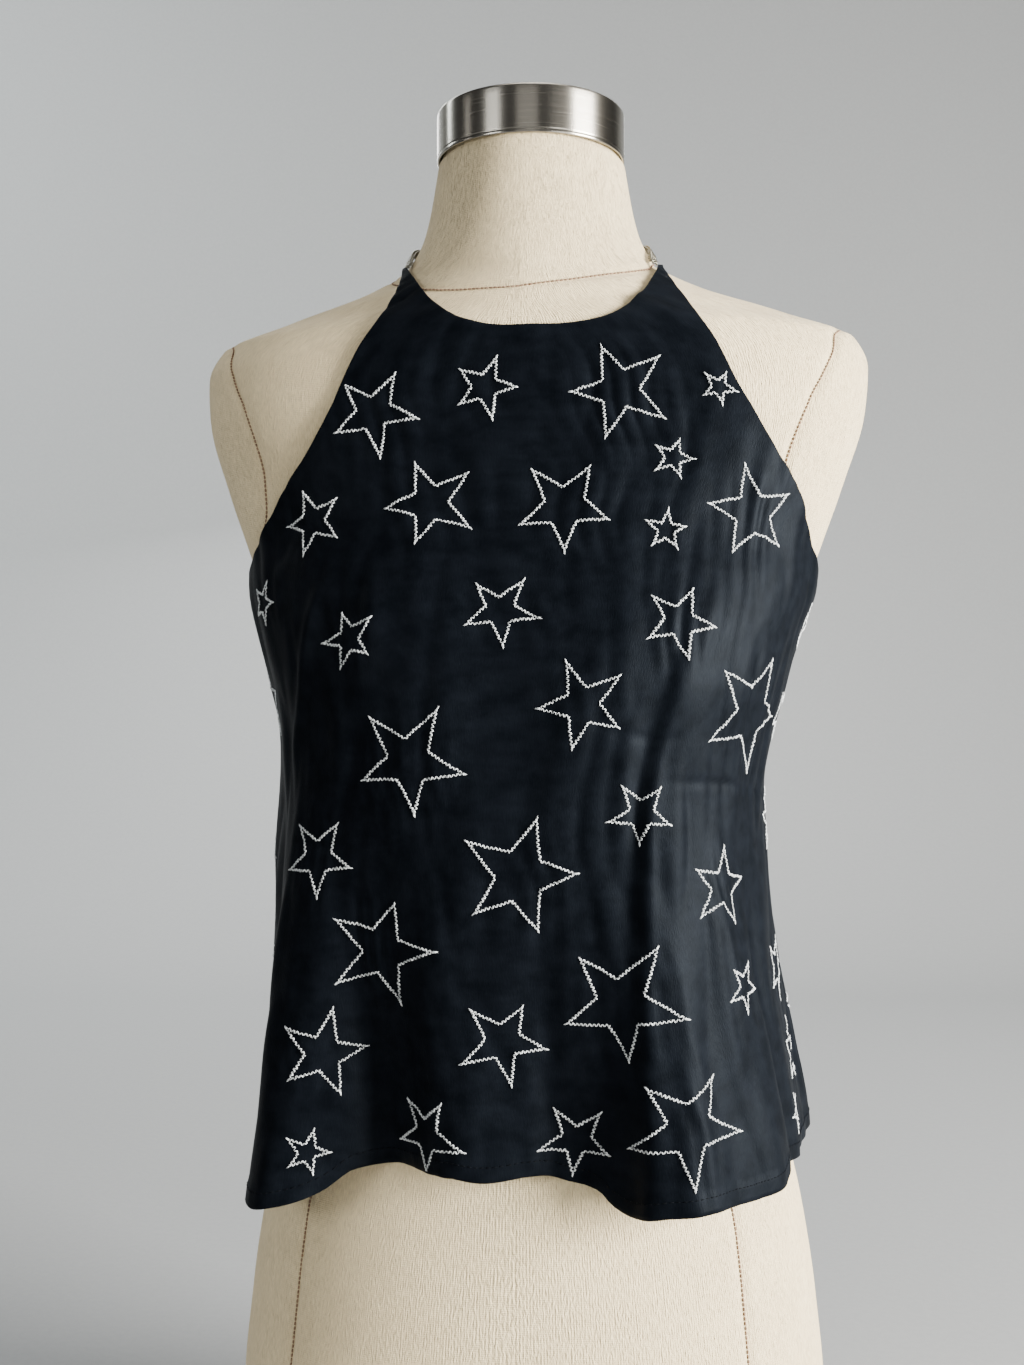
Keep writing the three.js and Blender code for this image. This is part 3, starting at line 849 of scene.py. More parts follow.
@dataclass(frozen=True)
class PlainThread:
    """Sewing thread in one colour, a little uneven."""

    name: str
    colour: tuple[float, float, float]
    roughness: float = 0.6

    def make(self) -> bpy.types.Material:
        """Return the material."""
        shader = Shader(self.name, {"Roughness": self.roughness, "Specular IOR Level": 0.05})
        uneven = shader.noise(shader.place(), 500.0)
        darker = tuple(0.6 * part for part in self.colour)
        return shader.finish(
            Base_Color=shader.blend(uneven, darker, self.colour), Normal=shader.bump(uneven, 0.4, 0.0001))


@dataclass(frozen=True)
class CottonCover:
    """Matt cream woven cotton, pulled tight over padding."""

    dark: tuple[float, float, float] = (0.60, 0.465, 0.265)
    light: tuple[float, float, float] = (0.88, 0.72, 0.43)
    stain_share: float = 0.25

    def make(self) -> bpy.types.Material:
        """Return the material."""
        shader = Shader("cotton_cover", {"Roughness": 0.88, "Sheen Weight": 0.15, "Specular IOR Level": 0.25})
        grain = shader.grain()
        warp = shader.wave(grain, 0.24, "X")
        weft = shader.wave(grain, 0.3, "Y")
        slubs = shader.noise(shader.stretch(grain, (1.1, 0.24, 1.0)), 1.0, 3.0)
        stains = shader.noise(grain, 0.03, 2.0)
        mixed = shader.node("ShaderNodeMath", {0: stains, 1: self.stain_share, 2: slubs},
                            operation="MULTIPLY_ADD").outputs["Value"]
        normal = shader.bump(warp, 0.5, 0.00025)
        normal = shader.bump(weft, 0.4, 0.0002, normal)
        normal = shader.bump(slubs, 1.0, 0.0013, normal)
        return shader.finish(Base_Color=shader.blend(mixed, self.dark, self.light, (0.3, 0.9)), Normal=normal)


@dataclass(frozen=True)
class BrushedMetal:
    """Metal with fine marks left by brushing or wear."""

    name: str
    colour: tuple[float, float, float]
    roughness: tuple[float, float]
    stretch: tuple[float, float, float]
    anisotropy: float = 0.0

    def make(self) -> bpy.types.Material:
        """Return the material."""
        shader = Shader(self.name, {
            "Metallic": 1.0, "Anisotropic": self.anisotropy, "Anisotropic Rotation": 0.25})
        marks = shader.noise(shader.stretch(shader.place(), self.stretch), 1.0, 5.0)
        darker = tuple(0.82 * part for part in self.colour)
        sockets = {
            "Base_Color": shader.blend(marks, darker, self.colour),
            "Roughness": shader.spread(marks, *self.roughness),
            "Normal": shader.bump(marks, 0.12, 0.0001)}
        if self.anisotropy:
            tangent = shader.node("ShaderNodeTangent", {}, direction_type="RADIAL", axis="Z")
            sockets["Tangent"] = tangent.outputs["Tangent"]
        return shader.finish(**sockets)


@dataclass(frozen=True)
class Plywood:
    """Plain sealed plywood."""

    dark: tuple[float, float, float] = (0.40, 0.26, 0.14)
    light: tuple[float, float, float] = (0.62, 0.46, 0.29)

    def make(self) -> bpy.types.Material:
        """Return the material."""
        shader = Shader("plywood", {"Roughness": 0.5, "Coat Weight": 0.2, "Coat Roughness": 0.3})
        figure = shader.noise(shader.stretch(shader.place(), (6.0, 90.0, 700.0)), 1.0, 5.0)
        return shader.finish(
            Base_Color=shader.blend(figure, self.dark, self.light), Normal=shader.bump(figure, 0.15, 0.0003))


@dataclass(frozen=True)
class StudioPaper:
    """The studio's plain pale floor and wall."""

    colour: tuple[float, float, float] = (0.30, 0.305, 0.305)

    def make(self) -> bpy.types.Material:
        """Return the material."""
        shader = Shader("studio_paper", {"Roughness": 0.9, "Specular IOR Level": 0.2})
        tooth = shader.noise(shader.place(), 160.0)
        darker = tuple(0.96 * part for part in self.colour)
        return shader.finish(
            Base_Color=shader.blend(tooth, darker, self.colour), Normal=shader.bump(tooth, 0.2, 0.0006))


@dataclass
class Panels:
    """The top's two cloth panels, cut by their edges and hung on the cloth's surface."""

    cloth: ClothSurface
    relief: Relief
    strap_top: float = 718.0
    strap_share: float = 0.95
    neckline_dip: float = 677.5
    neckline_curve: float = 3.4
    back_top: float = 522.0
    back_dip: float = 0.25
    below_arm: int = 14
    above_arm: int = 12
    armhole_spacing: float = 1.25
    hem_fade: float = 3.0
    seam_half_gap: float = 0.02
    wall: float = 0.5
    hem_wall: float = 1.15
    hem_depth: float = 9.0
    front_grid: tuple[int, int] = (200, 240)
    back_grid: tuple[int, int] = (180, 150)
    edge_margin: float = 0.5
    stitch_pitch: float = 2.3
    stitch_height: float = 7.6
    stitch_radius: float = 0.27

    def middle(self, z: Array) -> Array:
        """Return the angle of the front's middle at each height: above the arms it leans a little."""
        return self.cloth.worn_turn + Curve(LEAN_HEIGHTS, LEAN_ANGLES)(z)

    def armhole(self, z: Array) -> Array:
        """Return the angle from the front's middle at which the armhole cuts the cloth at each height."""
        outline = self.cloth.form.outline
        heights, angles = np.array(ARMHOLE_HEIGHTS, float), np.array(ARMHOLE_ANGLES, float)
        width = Curve(heights, outline.point(angles, heights)[0])(z)
        level = np.clip(width / outline.size("side", z), 0, 1) ** (outline.size("power", z) / 2)
        chest = smoothstep(z, 563.0, 590.0)
        angle = Curve(heights, angles)(z) * (1 - chest) + np.degrees(np.arcsin(level)) * chest
        return np.minimum(angle, self.cloth.side_seam - self.seam_half_gap)

    def front_edge(self, side: Array, up: Array) -> tuple[Array, Array]:
        """Return the angle and height of the front's side edge at a share of its height."""
        arm_share = self.below_arm / (self.below_arm + self.above_arm)
        foot = self.cloth.hem(self.cloth.worn_turn + side * self.cloth.side_seam)
        low = foot + (self.cloth.underarm - foot) * up / arm_share
        along = np.clip((up - arm_share) / (1 - arm_share), 0, 1) ** self.armhole_spacing
        high = self.cloth.underarm + (self.strap_top - self.cloth.underarm) * along
        z = np.where(up <= arm_share, low, high)
        seam = self.cloth.side_seam - self.seam_half_gap
        return np.where(up <= arm_share, seam, self.armhole(z)), z

    def front_place(self, across: Array, up: Array) -> tuple[Array, Array]:
        """Return the angle and height of a place in the front, by its shares across and up."""
        worn = self.cloth.worn_turn
        side = np.sign(across)
        share = np.minimum(1, np.abs(across) / self.strap_share) ** self.neckline_curve
        middle_foot = self.cloth.hem(worn)

        def height(at: Array) -> Array:
            middle = middle_foot + (self.neckline_dip - middle_foot) * at
            return middle + (self.front_edge(side, at)[1] - middle) * share

        edge_angle, edge_z = self.front_edge(side, up)
        plain = np.abs(across) * edge_angle
        hem_wave = self.cloth.hem(worn + across * self.cloth.side_seam) - height(np.zeros_like(up))
        z = height(up) + hem_wave * (1 - up) ** self.hem_fade
        outline = self.cloth.form.outline
        width = outline.point(plain, edge_z)[0]
        bent = np.clip(width / outline.size("side", z), 0, 1) ** (outline.size("power", z) / 2)
        level = np.degrees(np.arcsin(bent))
        chest = smoothstep(edge_z, self.cloth.underarm, self.cloth.chest_all)
        return self.middle(z) + side * (plain * (1 - chest) + level * chest), z

    def back_place(self, across: Array, up: Array) -> tuple[Array, Array]:
        """Return the angle and height of a place in the back, by its shares across and up."""
        half = 180 - self.cloth.side_seam - self.seam_half_gap
        angle = self.cloth.worn_turn + 180 + across * half
        rise = smoothstep(np.abs(across), self.back_dip, 1.0)
        top = self.back_top + (self.cloth.underarm - self.back_top) * rise
        foot = self.cloth.hem(angle)
        return angle, foot + (top - foot) * up

    def surface(self, angle: Array, z: Array) -> tuple[Array, Array]:
        """Return the points of the creased cloth and the directions out of its plain surface."""
        out = self.cloth.normal(angle, z)
        return self.cloth.point(angle, z) + out * self.relief.height(angle, z)[..., None], out

    def half_wall(self, angle: Array, z: Array) -> Array:
        """Return half the cloth's thickness, which grows where the hem is turned up."""
        above = z - self.cloth.hem(angle)
        turned_up = 1 - smoothstep(above, self.hem_depth - 0.8, self.hem_depth + 0.8)
        return (self.wall + (self.hem_wall - self.wall) * turned_up) / 2

    def face(self, angle: Array, z: Array) -> tuple[Array, Array]:
        """Return the points of the cloth's outer face and the directions out of it."""
        middle, out = self.surface(angle, z)
        return middle + out * self.half_wall(angle, z)[..., None], out

    def holds(self, angle: Array, z: Array, back: bool) -> Array:
        """Return which places lie on the cut cloth of the front, or of the back."""
        turn = np.abs(signed(angle - self.middle(z)))
        clear = z > self.cloth.hem(angle) + self.edge_margin
        if back:
            return clear & (turn > self.cloth.side_seam + self.edge_margin)
        edge = np.where(z > self.cloth.underarm, self.armhole(z), self.cloth.side_seam)
        return clear & (turn < edge - self.edge_margin)

    def shell(self, place: Callable[[Array, Array], tuple[Array, Array]], grid: tuple[int, int]
              ) -> tuple[MeshParts, Array]:
        """Return a panel's thin wall with rounded edges and a doubled hem.

        Args:
            place: Gives the angle and height of a place in the panel.
            grid: How many faces the panel has across and up.

        Returns:
            The wall, and where each of its points lies in the flat cloth.
        """
        across, up = np.meshgrid(np.linspace(-1, 1, grid[0] + 1), np.linspace(0, 1, grid[1] + 1))
        angle, z = place(across, up)
        middle, out = self.surface(angle, z)
        half = self.half_wall(angle, z)[..., None]
        rows, columns = middle.shape[:2]
        flat = np.arange(rows * columns).reshape(rows, columns)
        rim = np.concatenate([flat[0, :-1], flat[:-1, -1], flat[-1, :0:-1], flat[:0:-1, 0]])
        inward = np.concatenate([flat[1, :-1], flat[:-1, -2], flat[-2, :0:-1], flat[:0:-1, 1]])
        points = middle.reshape(-1, 3)
        away = unit(points[rim] - points[inward]) * half.reshape(-1, 1)[rim]
        outer, inner = points + (out * half).reshape(-1, 3), points - (out * half).reshape(-1, 3)
        faces = grid_faces(rows, columns)
        total = len(points)
        edge = np.arange(len(rim)) + 2 * total
        after, edge_after = np.roll(rim, -1), np.roll(edge, -1)
        parts = MeshParts()
        parts.add(np.concatenate([outer, inner, points[rim] + away]), np.concatenate([
            faces, faces[:, ::-1] + total,
            np.stack([after, rim, edge, edge_after], axis=-1),
            np.stack([edge_after, edge, rim + total, after + total], axis=-1)]))
        lay = np.stack([angle * self.relief.mm_per_degree, z, np.zeros_like(z)], axis=-1).reshape(-1, 3)
        return parts, np.concatenate([lay, lay, lay[rim]])

    def hem_stitches(self, start: float, end: float) -> MeshParts:
        """Return the line of stitches above the hem, from one angle to another."""
        angles = np.arange(start, end, self.stitch_pitch / self.relief.mm_per_degree)
        last = angles + 0.78 * self.stitch_pitch / self.relief.mm_per_degree
        starts, out = self.face(angles, self.cloth.hem(angles) + self.stitch_height)
        ends, _ = self.face(last, self.cloth.hem(last) + self.stitch_height)
        parts = MeshParts()
        add_stitches(parts, starts, ends, out, np.full(len(angles), self.stitch_radius), 0.3)
        return parts

    def build(self, satin: bpy.types.Material, thread: bpy.types.Material) -> dict[str, bpy.types.Object]:
        """Make both panels and their hem stitches.

        Args:
            satin: The cloth's material.
            thread: The sewing thread's material.

        Returns:
            The pieces by name.
        """
        pieces = {}
        for name, place, grid in (("front", self.front_place, self.front_grid),
                                  ("back", self.back_place, self.back_grid)):
            parts, grain = self.shell(place, grid)
            pieces[name] = parts.build(f"{name}_cloth", satin, Slot.SATIN, grain)
            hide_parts(f"{name}_panel")
        worn, seam = self.cloth.worn_turn, self.cloth.side_seam
        front = self.hem_stitches(worn - seam + 1, worn + seam - 1)
        back = self.hem_stitches(worn + seam + 1, worn + 360 - seam - 1)
        pieces["front_hem"] = front.build("front_hem_stitches", thread, Slot.SATIN)
        pieces["back_hem"] = back.build("back_hem_stitches", thread, Slot.SATIN)
        return pieces


@dataclass
class Embroidery:
    """Star outlines in slanting stitches, laid on the cloth."""

    panels: Panels
    tip_count: int = 5
    inner_share: float = 0.41
    line_width: float = 1.7
    stitch_step: float = 1.05
    thread_radius: float = 0.35
    lift: float = 0.6
    tail: float = 2.4
    unevenness: float = 0.075
    skew: float = 0.045
    seed: int = 11

    def corners(self, star: Star, random: np.random.Generator) -> Array:
        """Return the star's tips and inner corners in its own plane, across and up."""
        count = 2 * self.tip_count
        turn = np.radians(star.turn) + np.arange(count) * math.pi / self.tip_count
        turn = turn + self.skew * random.uniform(-1, 1, count)
        reach = np.where(np.arange(count) % 2 == 0, star.tip, star.tip * self.inner_share)
        reach = reach * (1 + self.unevenness * random.uniform(-1, 1, count))
        return np.stack([reach * np.sin(turn), reach * np.cos(turn)], axis=-1)

    def stitches(self, star: Star, random: np.random.Generator) -> tuple[Array, Array]:
        """Return where each of a star's stitches starts and ends in its own plane."""
        corners = self.corners(star, random)
        starts, ends = [], []
        for n, here in enumerate(corners):
            there = corners[(n + 1) % len(corners)]
            line = there - here
            length = float(np.hypot(*line))
            line = line / length
            aside = np.array([-line[1], line[0]])
            count = max(4, round(length / self.stitch_step))
            share = np.linspace(0, 1, count + 1)
            bow = 0.02 * length * random.uniform(-1, 1) * np.sin(math.pi * share)
            tip_share = share if n % 2 == 0 else 1 - share
            half = self.line_width / 2 * (0.55 + 0.45 * np.minimum(1, tip_share * length / 3.0))
            half = half * (1 + 0.25 * random.uniform(-1, 1, count + 1))
            sway = np.where(np.arange(count + 1) % 2 == 0, half, -half) + bow
            route = here + share[:, None] * length * line + sway[:, None] * aside
            starts.append(route[:-1])
            ends.append(route[1:])
            if n % 2 == 0:
                ray = unit(here)
                for offset in (-0.22, 0.22):
                    away = np.array([-ray[1], ray[0]]) * offset
                    starts.append((here - ray * 1.2 + away)[None])
                    ends.append((here + ray * self.tail * random.uniform(0.5, 1) + away * 0.4)[None])
        return np.concatenate(starts), np.concatenate(ends)

    def settle(self, angle: Array, z: Array, flat: Array) -> tuple[Array, Array]:
        """Find where places in the stars' own planes lie on the cloth.

        Args:
            angle: The angle of each place's star.
            z: The height of each place's star.
            flat: Each place in its star's plane, across and up.

        Returns:
            The angles and heights of the places.
        """
        cloth = self.panels.cloth
        origin, normal, around = cloth.point(angle, z), cloth.normal(angle, z), cloth.around(angle, z)
        across = unit(around)
        upward = np.cross(normal, across)
        angle = angle + flat[:, 0] / np.linalg.norm(around, axis=-1)
        z = z + flat[:, 1] * upward[:, 2]
        for _ in range(3):
            miss = cloth.point(angle, z) - origin
            turn_step, rise_step = cloth.around(angle, z), cloth.upward(angle, z)
            off_a = np.sum(miss * across, axis=-1) - flat[:, 0]
            off_b = np.sum(miss * upward, axis=-1) - flat[:, 1]
            a, b = np.sum(turn_step * across, axis=-1), np.sum(rise_step * across, axis=-1)
            c, d = np.sum(turn_step * upward, axis=-1), np.sum(rise_step * upward, axis=-1)
            size = a * d - b * c
            angle = angle - (d * off_a - b * off_b) / size
            z = z - (a * off_b - c * off_a) / size
        return angle, z

    def build(self, name: str, stars: Sequence[Star], material: bpy.types.Material) -> bpy.types.Object:
        """Make one piece of the embroidery, cut off where its panel ends.

        Args:
            name: The piece's name, which starts with its panel's.
            stars: The stars that it holds.
            material: The thread's material.

        Returns:
            The new piece.
        """
        random = np.random.default_rng(self.seed + len(stars))
        runs = [self.stitches(star, random) for star in stars]
        counts = [len(starts) for starts, _ in runs]
        angle = np.repeat([star.angle for star in stars], counts)
        z = np.repeat([star.z for star in stars], counts)
        on_cloth = np.ones(len(angle), bool)
        points, outs = [], []
        for side in (0, 1):
            places = self.settle(angle, z, np.concatenate([run[side] for run in runs]))
            on_cloth &= self.panels.holds(*places, back=name.startswith("back"))
            face, out = self.panels.face(*places)
            points.append(face)
            outs.append(out)
        radius = self.thread_radius * (1 + 0.3 * random.uniform(-1, 1, len(angle)))
        parts = MeshParts()
        out = unit(outs[0] + outs[1])[on_cloth]
        add_stitches(parts, points[0][on_cloth], points[1][on_cloth], out, radius[on_cloth], self.lift)
        return parts.build(name, material)


@dataclass
class NeckChain:
    """The fine ribbed chain of four rows round the back of the neck, and the clasp that closes it."""

    cloth: ClothSurface
    diameter: float = 3.4
    clearance: float = 0.7
    clasp_diameter: float = 6.0
    clasp_length: float = 14.0
    clasp_straight: float = 4.0
    clasp_bend: float = 5.0
    route_points: int = 160
    link_pitch: float = 1.7
    link_radius: float = 1.05
    wire: float = 0.34
    row_spacing: float = 1.1
    rows: int = 4
    tilt: float = 42.0
    eye_radius: float = 1.2
    eye_wire: float = 0.32

    def beside(self, degrees: Array, z: Array, distance: float) -> Array:
        """Return the points beside the neck that are a given distance clear of the form."""
        form = self.cloth.form
        return form.point(degrees, z) + form.normal(degrees, z) * distance

    def nape(self) -> tuple[Array, Array]:
        """Return the middle of the clasp and the direction it lies in, towards +X."""
        angle = self.cloth.worn_turn + 180
        z = CHAIN_HEIGHTS[-1]
        form = self.cloth.form
        middle = self.beside(angle, z, self.clasp_diameter / 2 + self.clearance)
        return middle, unit(form.point(angle - NUDGE, z) - form.point(angle + NUDGE, z))

    def route(self, side: int) -> tuple[Array, Array]:
        """Return one half's evenly spaced points and the direction out of the neck at each."""
        nape, line = self.nape()
        reach = self.clasp_length / 2 + self.clasp_straight + self.clasp_bend
        last = 180 - math.degrees(reach / math.hypot(nape[0], nape[1]))
        angles = np.linspace(CHAIN_ANGLES[0], last, self.route_points)
        heights = Curve(CHAIN_ANGLES, CHAIN_HEIGHTS)(angles)
        worn = self.cloth.worn_turn + side * angles
        beside = self.beside(worn, heights, self.diameter / 2 + self.clearance)
        away = self.clasp_length / 2 + SEAT_GAP
        ends = [nape + line * side * (away + extra) for extra in (self.clasp_straight, 0)]
        points = np.vstack([beside, ends])
        outs = np.vstack([self.cloth.form.normal(worn, heights)] + 2 * [unit(nape * [1, 1, 0])[None]])
        run = np.concatenate([[0], np.cumsum(np.linalg.norm(np.diff(points, axis=0), axis=1))])
        even = np.arange(self.link_pitch / 2, run[-1] - self.link_pitch / 2, self.link_pitch)
        spaced = np.stack([np.interp(even, run, points[:, k]) for k in range(3)], axis=-1)
        facing = np.stack([np.interp(even, run, outs[:, k]) for k in range(3)], axis=-1)
        return spaced, unit(facing)

    def half(self, name: str, side: int, metal: bpy.types.Material) -> bpy.types.Object:
        """Make one half of the chain; side is 1 on +X and -1 on -X."""
        points, out = self.route(side)
        along = unit(np.gradient(points, axis=0))
        aside = unit(np.cross(out, along))
        out = np.cross(along, aside)
        parts = MeshParts()
        for row in range(self.rows):
            lean = np.where((np.arange(len(points)) + row) % 2 == 0, 1, -1) * math.radians(self.tilt)
            flat = np.cos(lean)[:, None] * aside + np.sin(lean)[:, None] * out
            centres = points + aside * self.row_spacing * (row - (self.rows - 1) / 2)
            add_rings(parts, centres, along, flat, self.link_radius, self.wire)
        for n in (0, -1):
            add_rings(parts, points[n][None], aside[n][None], along[n][None], self.eye_radius, self.eye_wire)
        piece = parts.build(name, metal, Slot.CHAIN)
        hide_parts(name.replace("links", "chain"))
        return piece

    def clasp(self, metal: bpy.types.Material) -> bpy.types.Object:
        """Make the barrel clasp: two ribbed cups that meet at a groove."""
        nape, line = self.nape()
        half, radius = self.clasp_length / 2, self.clasp_diameter / 2
        cup = [(0.0, half), (1.0, half), (1.3, half - 0.4), (1.3, half - 1.2), (0.8 * radius, half - 1.8)]
        for rib in range(4):
            start = half - 2.4 - rib * 1.05
            cup += [(radius - 0.1, start), (radius, start - 0.3), (radius - 0.25, start - 0.7)]
        cup += [(radius - 0.1, 0.45), (radius - 0.5, 0.15)]
        profile = np.array(cup + [(r, -z) for r, z in reversed(cup)])
        parts = MeshParts()
        add_turned(parts, profile[::-1], nape, line, 32)
        piece = parts.build("barrel_clasp", metal, Slot.CHAIN)
        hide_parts("chain_clasp")
        return piece


@dataclass
class DressForm:
    """The padded torso in its cotton cover, with its seams, metal neck cap and board."""

    form: FormSurface
    around: int = 420
    rings: tuple[tuple[float, float, int], ...] = ((FOOT, 640, 96), (640, 745, 92), (745, NECK_TOP, 30))
    seam_sink: float = 1.3
    seam_width: float = 2.6
    seam_thread: float = 0.5
    stitch_pitch: float = 2.4
    mm_per_degree: float = 2.6
    tuck: float = 1.1
    cap_radius: float = 53.3
    cap_skirt: float = 2.8
    cap_rounding: float = 2.2
    neck_lean: float = 7.0
    board_inset: float = 5.0
    board_rounding: float = 1.5

    def seams(self) -> dict[str, tuple[Array, Array]]:
        """Return the angles and heights that each seam runs through."""
        low = np.linspace(FOOT, 487, 200)
        princess = Curve((FOOT, 150, 215, 355, 487), (46, 46.5, 47.5, 38, 31))(low)
        back_low = np.linspace(FOOT, 672, 260)
        back = Curve((FOOT, 200, 355, 520, 640, 672), (38, 36, 31, 38, 46, 50))(back_low)
        side = np.linspace(FOOT, 548, 220)
        arm_heights = (548, 552, 565, 586, 608, 620, 640, 655, 672, 680, 684, 688)
        arm = np.linspace(548, 688, 140)
        arm_angle = Curve(arm_heights, (90, 78, 61, 51.5, 49, 49.6, 52.4, 57, 63.4, 68, 74, 90))(arm)
        round_neck = np.linspace(-180, 180, 400)
        neck = Curve((-180, -110, -75, -55, -41, -30, -17, -3.5, 13.6, 30.5, 55.7, 75, 110, 180),
                     (738, 731, 720, 713, 708, 703.5, 700.6, 700.3, 703.4, 708.8, 717, 724, 732, 738))(round_neck)
        seams = {"neck": (round_neck, neck), "back_middle": (np.full(300, 180.0), np.linspace(FOOT, 735, 300))}
        for name, turn in (("left", 1), ("right", -1)):
            seams[f"princess_{name}"] = (turn * princess, low)
            seams[f"back_{name}"] = (180 - turn * back, back_low)
            seams[f"side_{name}"] = (turn * np.full(len(side), 90.0), side)
            seams[f"arm_front_{name}"] = (turn * arm_angle, arm)
            seams[f"arm_back_{name}"] = (turn * (180 - arm_angle), arm)
            seams[f"shoulder_{name}"] = (turn * np.full(60, 90.0), np.linspace(688, 726, 60))
        return seams

    def cover(self, cotton: bpy.types.Material) -> bpy.types.Object:
        """Make the torso's cover, drawn in along its seams."""
        heights = np.concatenate([np.linspace(low, high, count, endpoint=False)
                                  for low, high, count in self.rings] + [[NECK_TOP]])
        angle, z = np.meshgrid(np.linspace(-180, 180, self.around, endpoint=False), heights)
        points = self.form.point(angle, z).reshape(-1, 3)
        out = self.form.normal(angle, z).reshape(-1, 3)
        lines = np.concatenate([self.form.point(*seam) for seam in self.seams().values()])
        tree = KDTree(len(lines))
        for n, place in enumerate(lines):
            tree.insert(place, n)
        tree.balance()
        apart = np.array([tree.find(place)[2] for place in points])
        padding = np.array([noise.noise(Vector(place) / 38) for place in points])
        sunk = -self.seam_sink * np.exp(-((apart / self.seam_width) ** 2)) + 0.22 * padding
        skirt_foot = NECK_TOP - self.cap_skirt
        sunk = sunk - self.tuck * smoothstep(z.ravel(), skirt_foot - 1.6, skirt_foot + 0.2)
        points = points + out * sunk[:, None]
        parts = MeshParts()
        parts.add(points, grid_faces(len(heights), self.around, closed=True))
        lay = np.stack([angle * self.mm_per_degree, z, np.zeros_like(z)], axis=-1).reshape(-1, 3)
        last = (len(heights) - 1) * self.around
        parts.faces.append(np.arange(self.around)[::-1][None])
        parts.faces.append(np.arange(self.around)[None] + last)
        piece = parts.build("cotton_torso", cotton, Slot.COVER, lay)
        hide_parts("form_torso")
        return piece

    def seam_lines(self, thread: bpy.types.Material) -> bpy.types.Object:
        """Make the stitches that show in the seams."""
        parts = MeshParts()
        for angles, heights in self.seams().values():
            points = self.form.point(angles, heights) - self.form.normal(angles, heights) * 0.8
            run = np.concatenate([[0], np.cumsum(np.linalg.norm(np.diff(points, axis=0), axis=1))])
            start = np.arange(0, run[-1] - self.stitch_pitch, self.stitch_pitch)
            ends = [np.stack([np.interp(at, run, points[:, k]) for k in range(3)], axis=-1)
                    for at in (start, start + 0.98 * self.stitch_pitch)]
            middle = start + self.stitch_pitch / 2
            out = self.form.normal(np.interp(middle, run, angles), np.interp(middle, run, heights))
            add_stitches(parts, *ends, out, np.full(len(start), self.seam_thread), 0.1)
        return parts.build("cover_seams", thread, Slot.COVER)

    def neck_cap(self, nickel: bpy.types.Material) -> bpy.types.Object:
        """Make the metal cap: a turned disc with a rounded edge and a slightly dished top."""
        edge = self.cap_rounding
        turn = np.linspace(0, math.pi / 2, 9)
        corner = np.stack([self.cap_radius - edge * (1 - np.cos(turn)),
                           CAP_HEIGHT - edge * (1 - np.sin(turn))], axis=-1)
        foot = -self.cap_skirt
        under = np.array([(1.5, 0.0), (1.5, foot + 0.4), (1.1, foot), (0.35, foot), (0.0, foot + 0.4),
                          (0.0, foot + 1.6), (0.3, foot + 2.0), (0.3, foot + 2.4), (0.0, foot + 2.8)])
        low = np.concatenate([[(0.0, 0.0)], np.stack([self.cap_radius - under[:, 0], under[:, 1]], axis=-1)])
        rise = np.linspace(foot + 3, CAP_HEIGHT - edge, 8)[:-1]
        flank = np.stack([np.full(len(rise), self.cap_radius), rise], axis=-1)
        top = np.array([(0.9, 0.0), (0.86, 0.5), (0.5, 1.1), (0, 1.2)])
        dish = np.stack([self.cap_radius * top[:, 0], CAP_HEIGHT - top[:, 1]], axis=-1)
        profile = np.concatenate([low, flank, corner, dish])
        parts = MeshParts()
        origin = np.array([0.0, -self.neck_lean, CAP_TOP - CAP_HEIGHT])
        add_turned(parts, profile, origin, np.array([0.0, 0.0, 1.0]), 160)
        piece = parts.build("nickel_cap", nickel, Slot.CAP)
        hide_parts("form_neck_cap")
        return piece

    def board(self, wood: bpy.types.Material) -> bpy.types.Object:
        """Make the board, with its edges rounded."""
        angle = np.linspace(0, 360, 160, endpoint=False)
        x, y = self.form.outline.point(angle, np.full(len(angle), FOOT))
        reach = np.hypot(x, y)
        rounding = self.board_rounding
        levels = ((rounding, 0.0), (0.3 * rounding, 0.3 * rounding), (0.0, rounding),
                  (0.0, BOARD_THICK - rounding), (0.3 * rounding, BOARD_THICK - 0.3 * rounding),
                  (rounding, BOARD_THICK))
        rings = []
        for inset, z in levels:
            share = (reach - self.board_inset - inset) / reach
            rings.append(np.stack([x * share, y * share, np.full(len(x), z)], axis=-1))
        parts = MeshParts()
        parts.add(np.stack(rings), grid_faces(len(levels), len(angle), closed=True))
        last = (len(levels) - 1) * len(angle)
        parts.faces.append(np.arange(len(angle))[::-1][None])
        parts.faces.append(np.arange(len(angle))[None] + last)
        piece = parts.build("plywood_base", wood, Slot.BOARD)
        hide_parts("form_board")
        return piece


@dataclass(frozen=True)
class Lamp:
    """A soft square light: where it stands, what it points at, its width and its power."""

    name: str
    place: tuple[float, float, float]
    target: tuple[float, float, float]
    width: float
    power: float
    colour: tuple[float, float, float] = (1.0, 1.0, 1.0)

    def make(self) -> None:
        """Set up the light."""
        data = bpy.data.lights.new(self.name, "AREA")
        data.size, data.energy, data.color = self.width, self.power, self.colour
        lamp = bpy.data.objects.new(self.name, data)
        lamp.location = self.place
        aim = Vector(self.target) - Vector(self.place)
        lamp.rotation_euler = aim.to_track_quat("-Z", "Y").to_euler()
        bpy.context.scene.collection.objects.link(lamp)


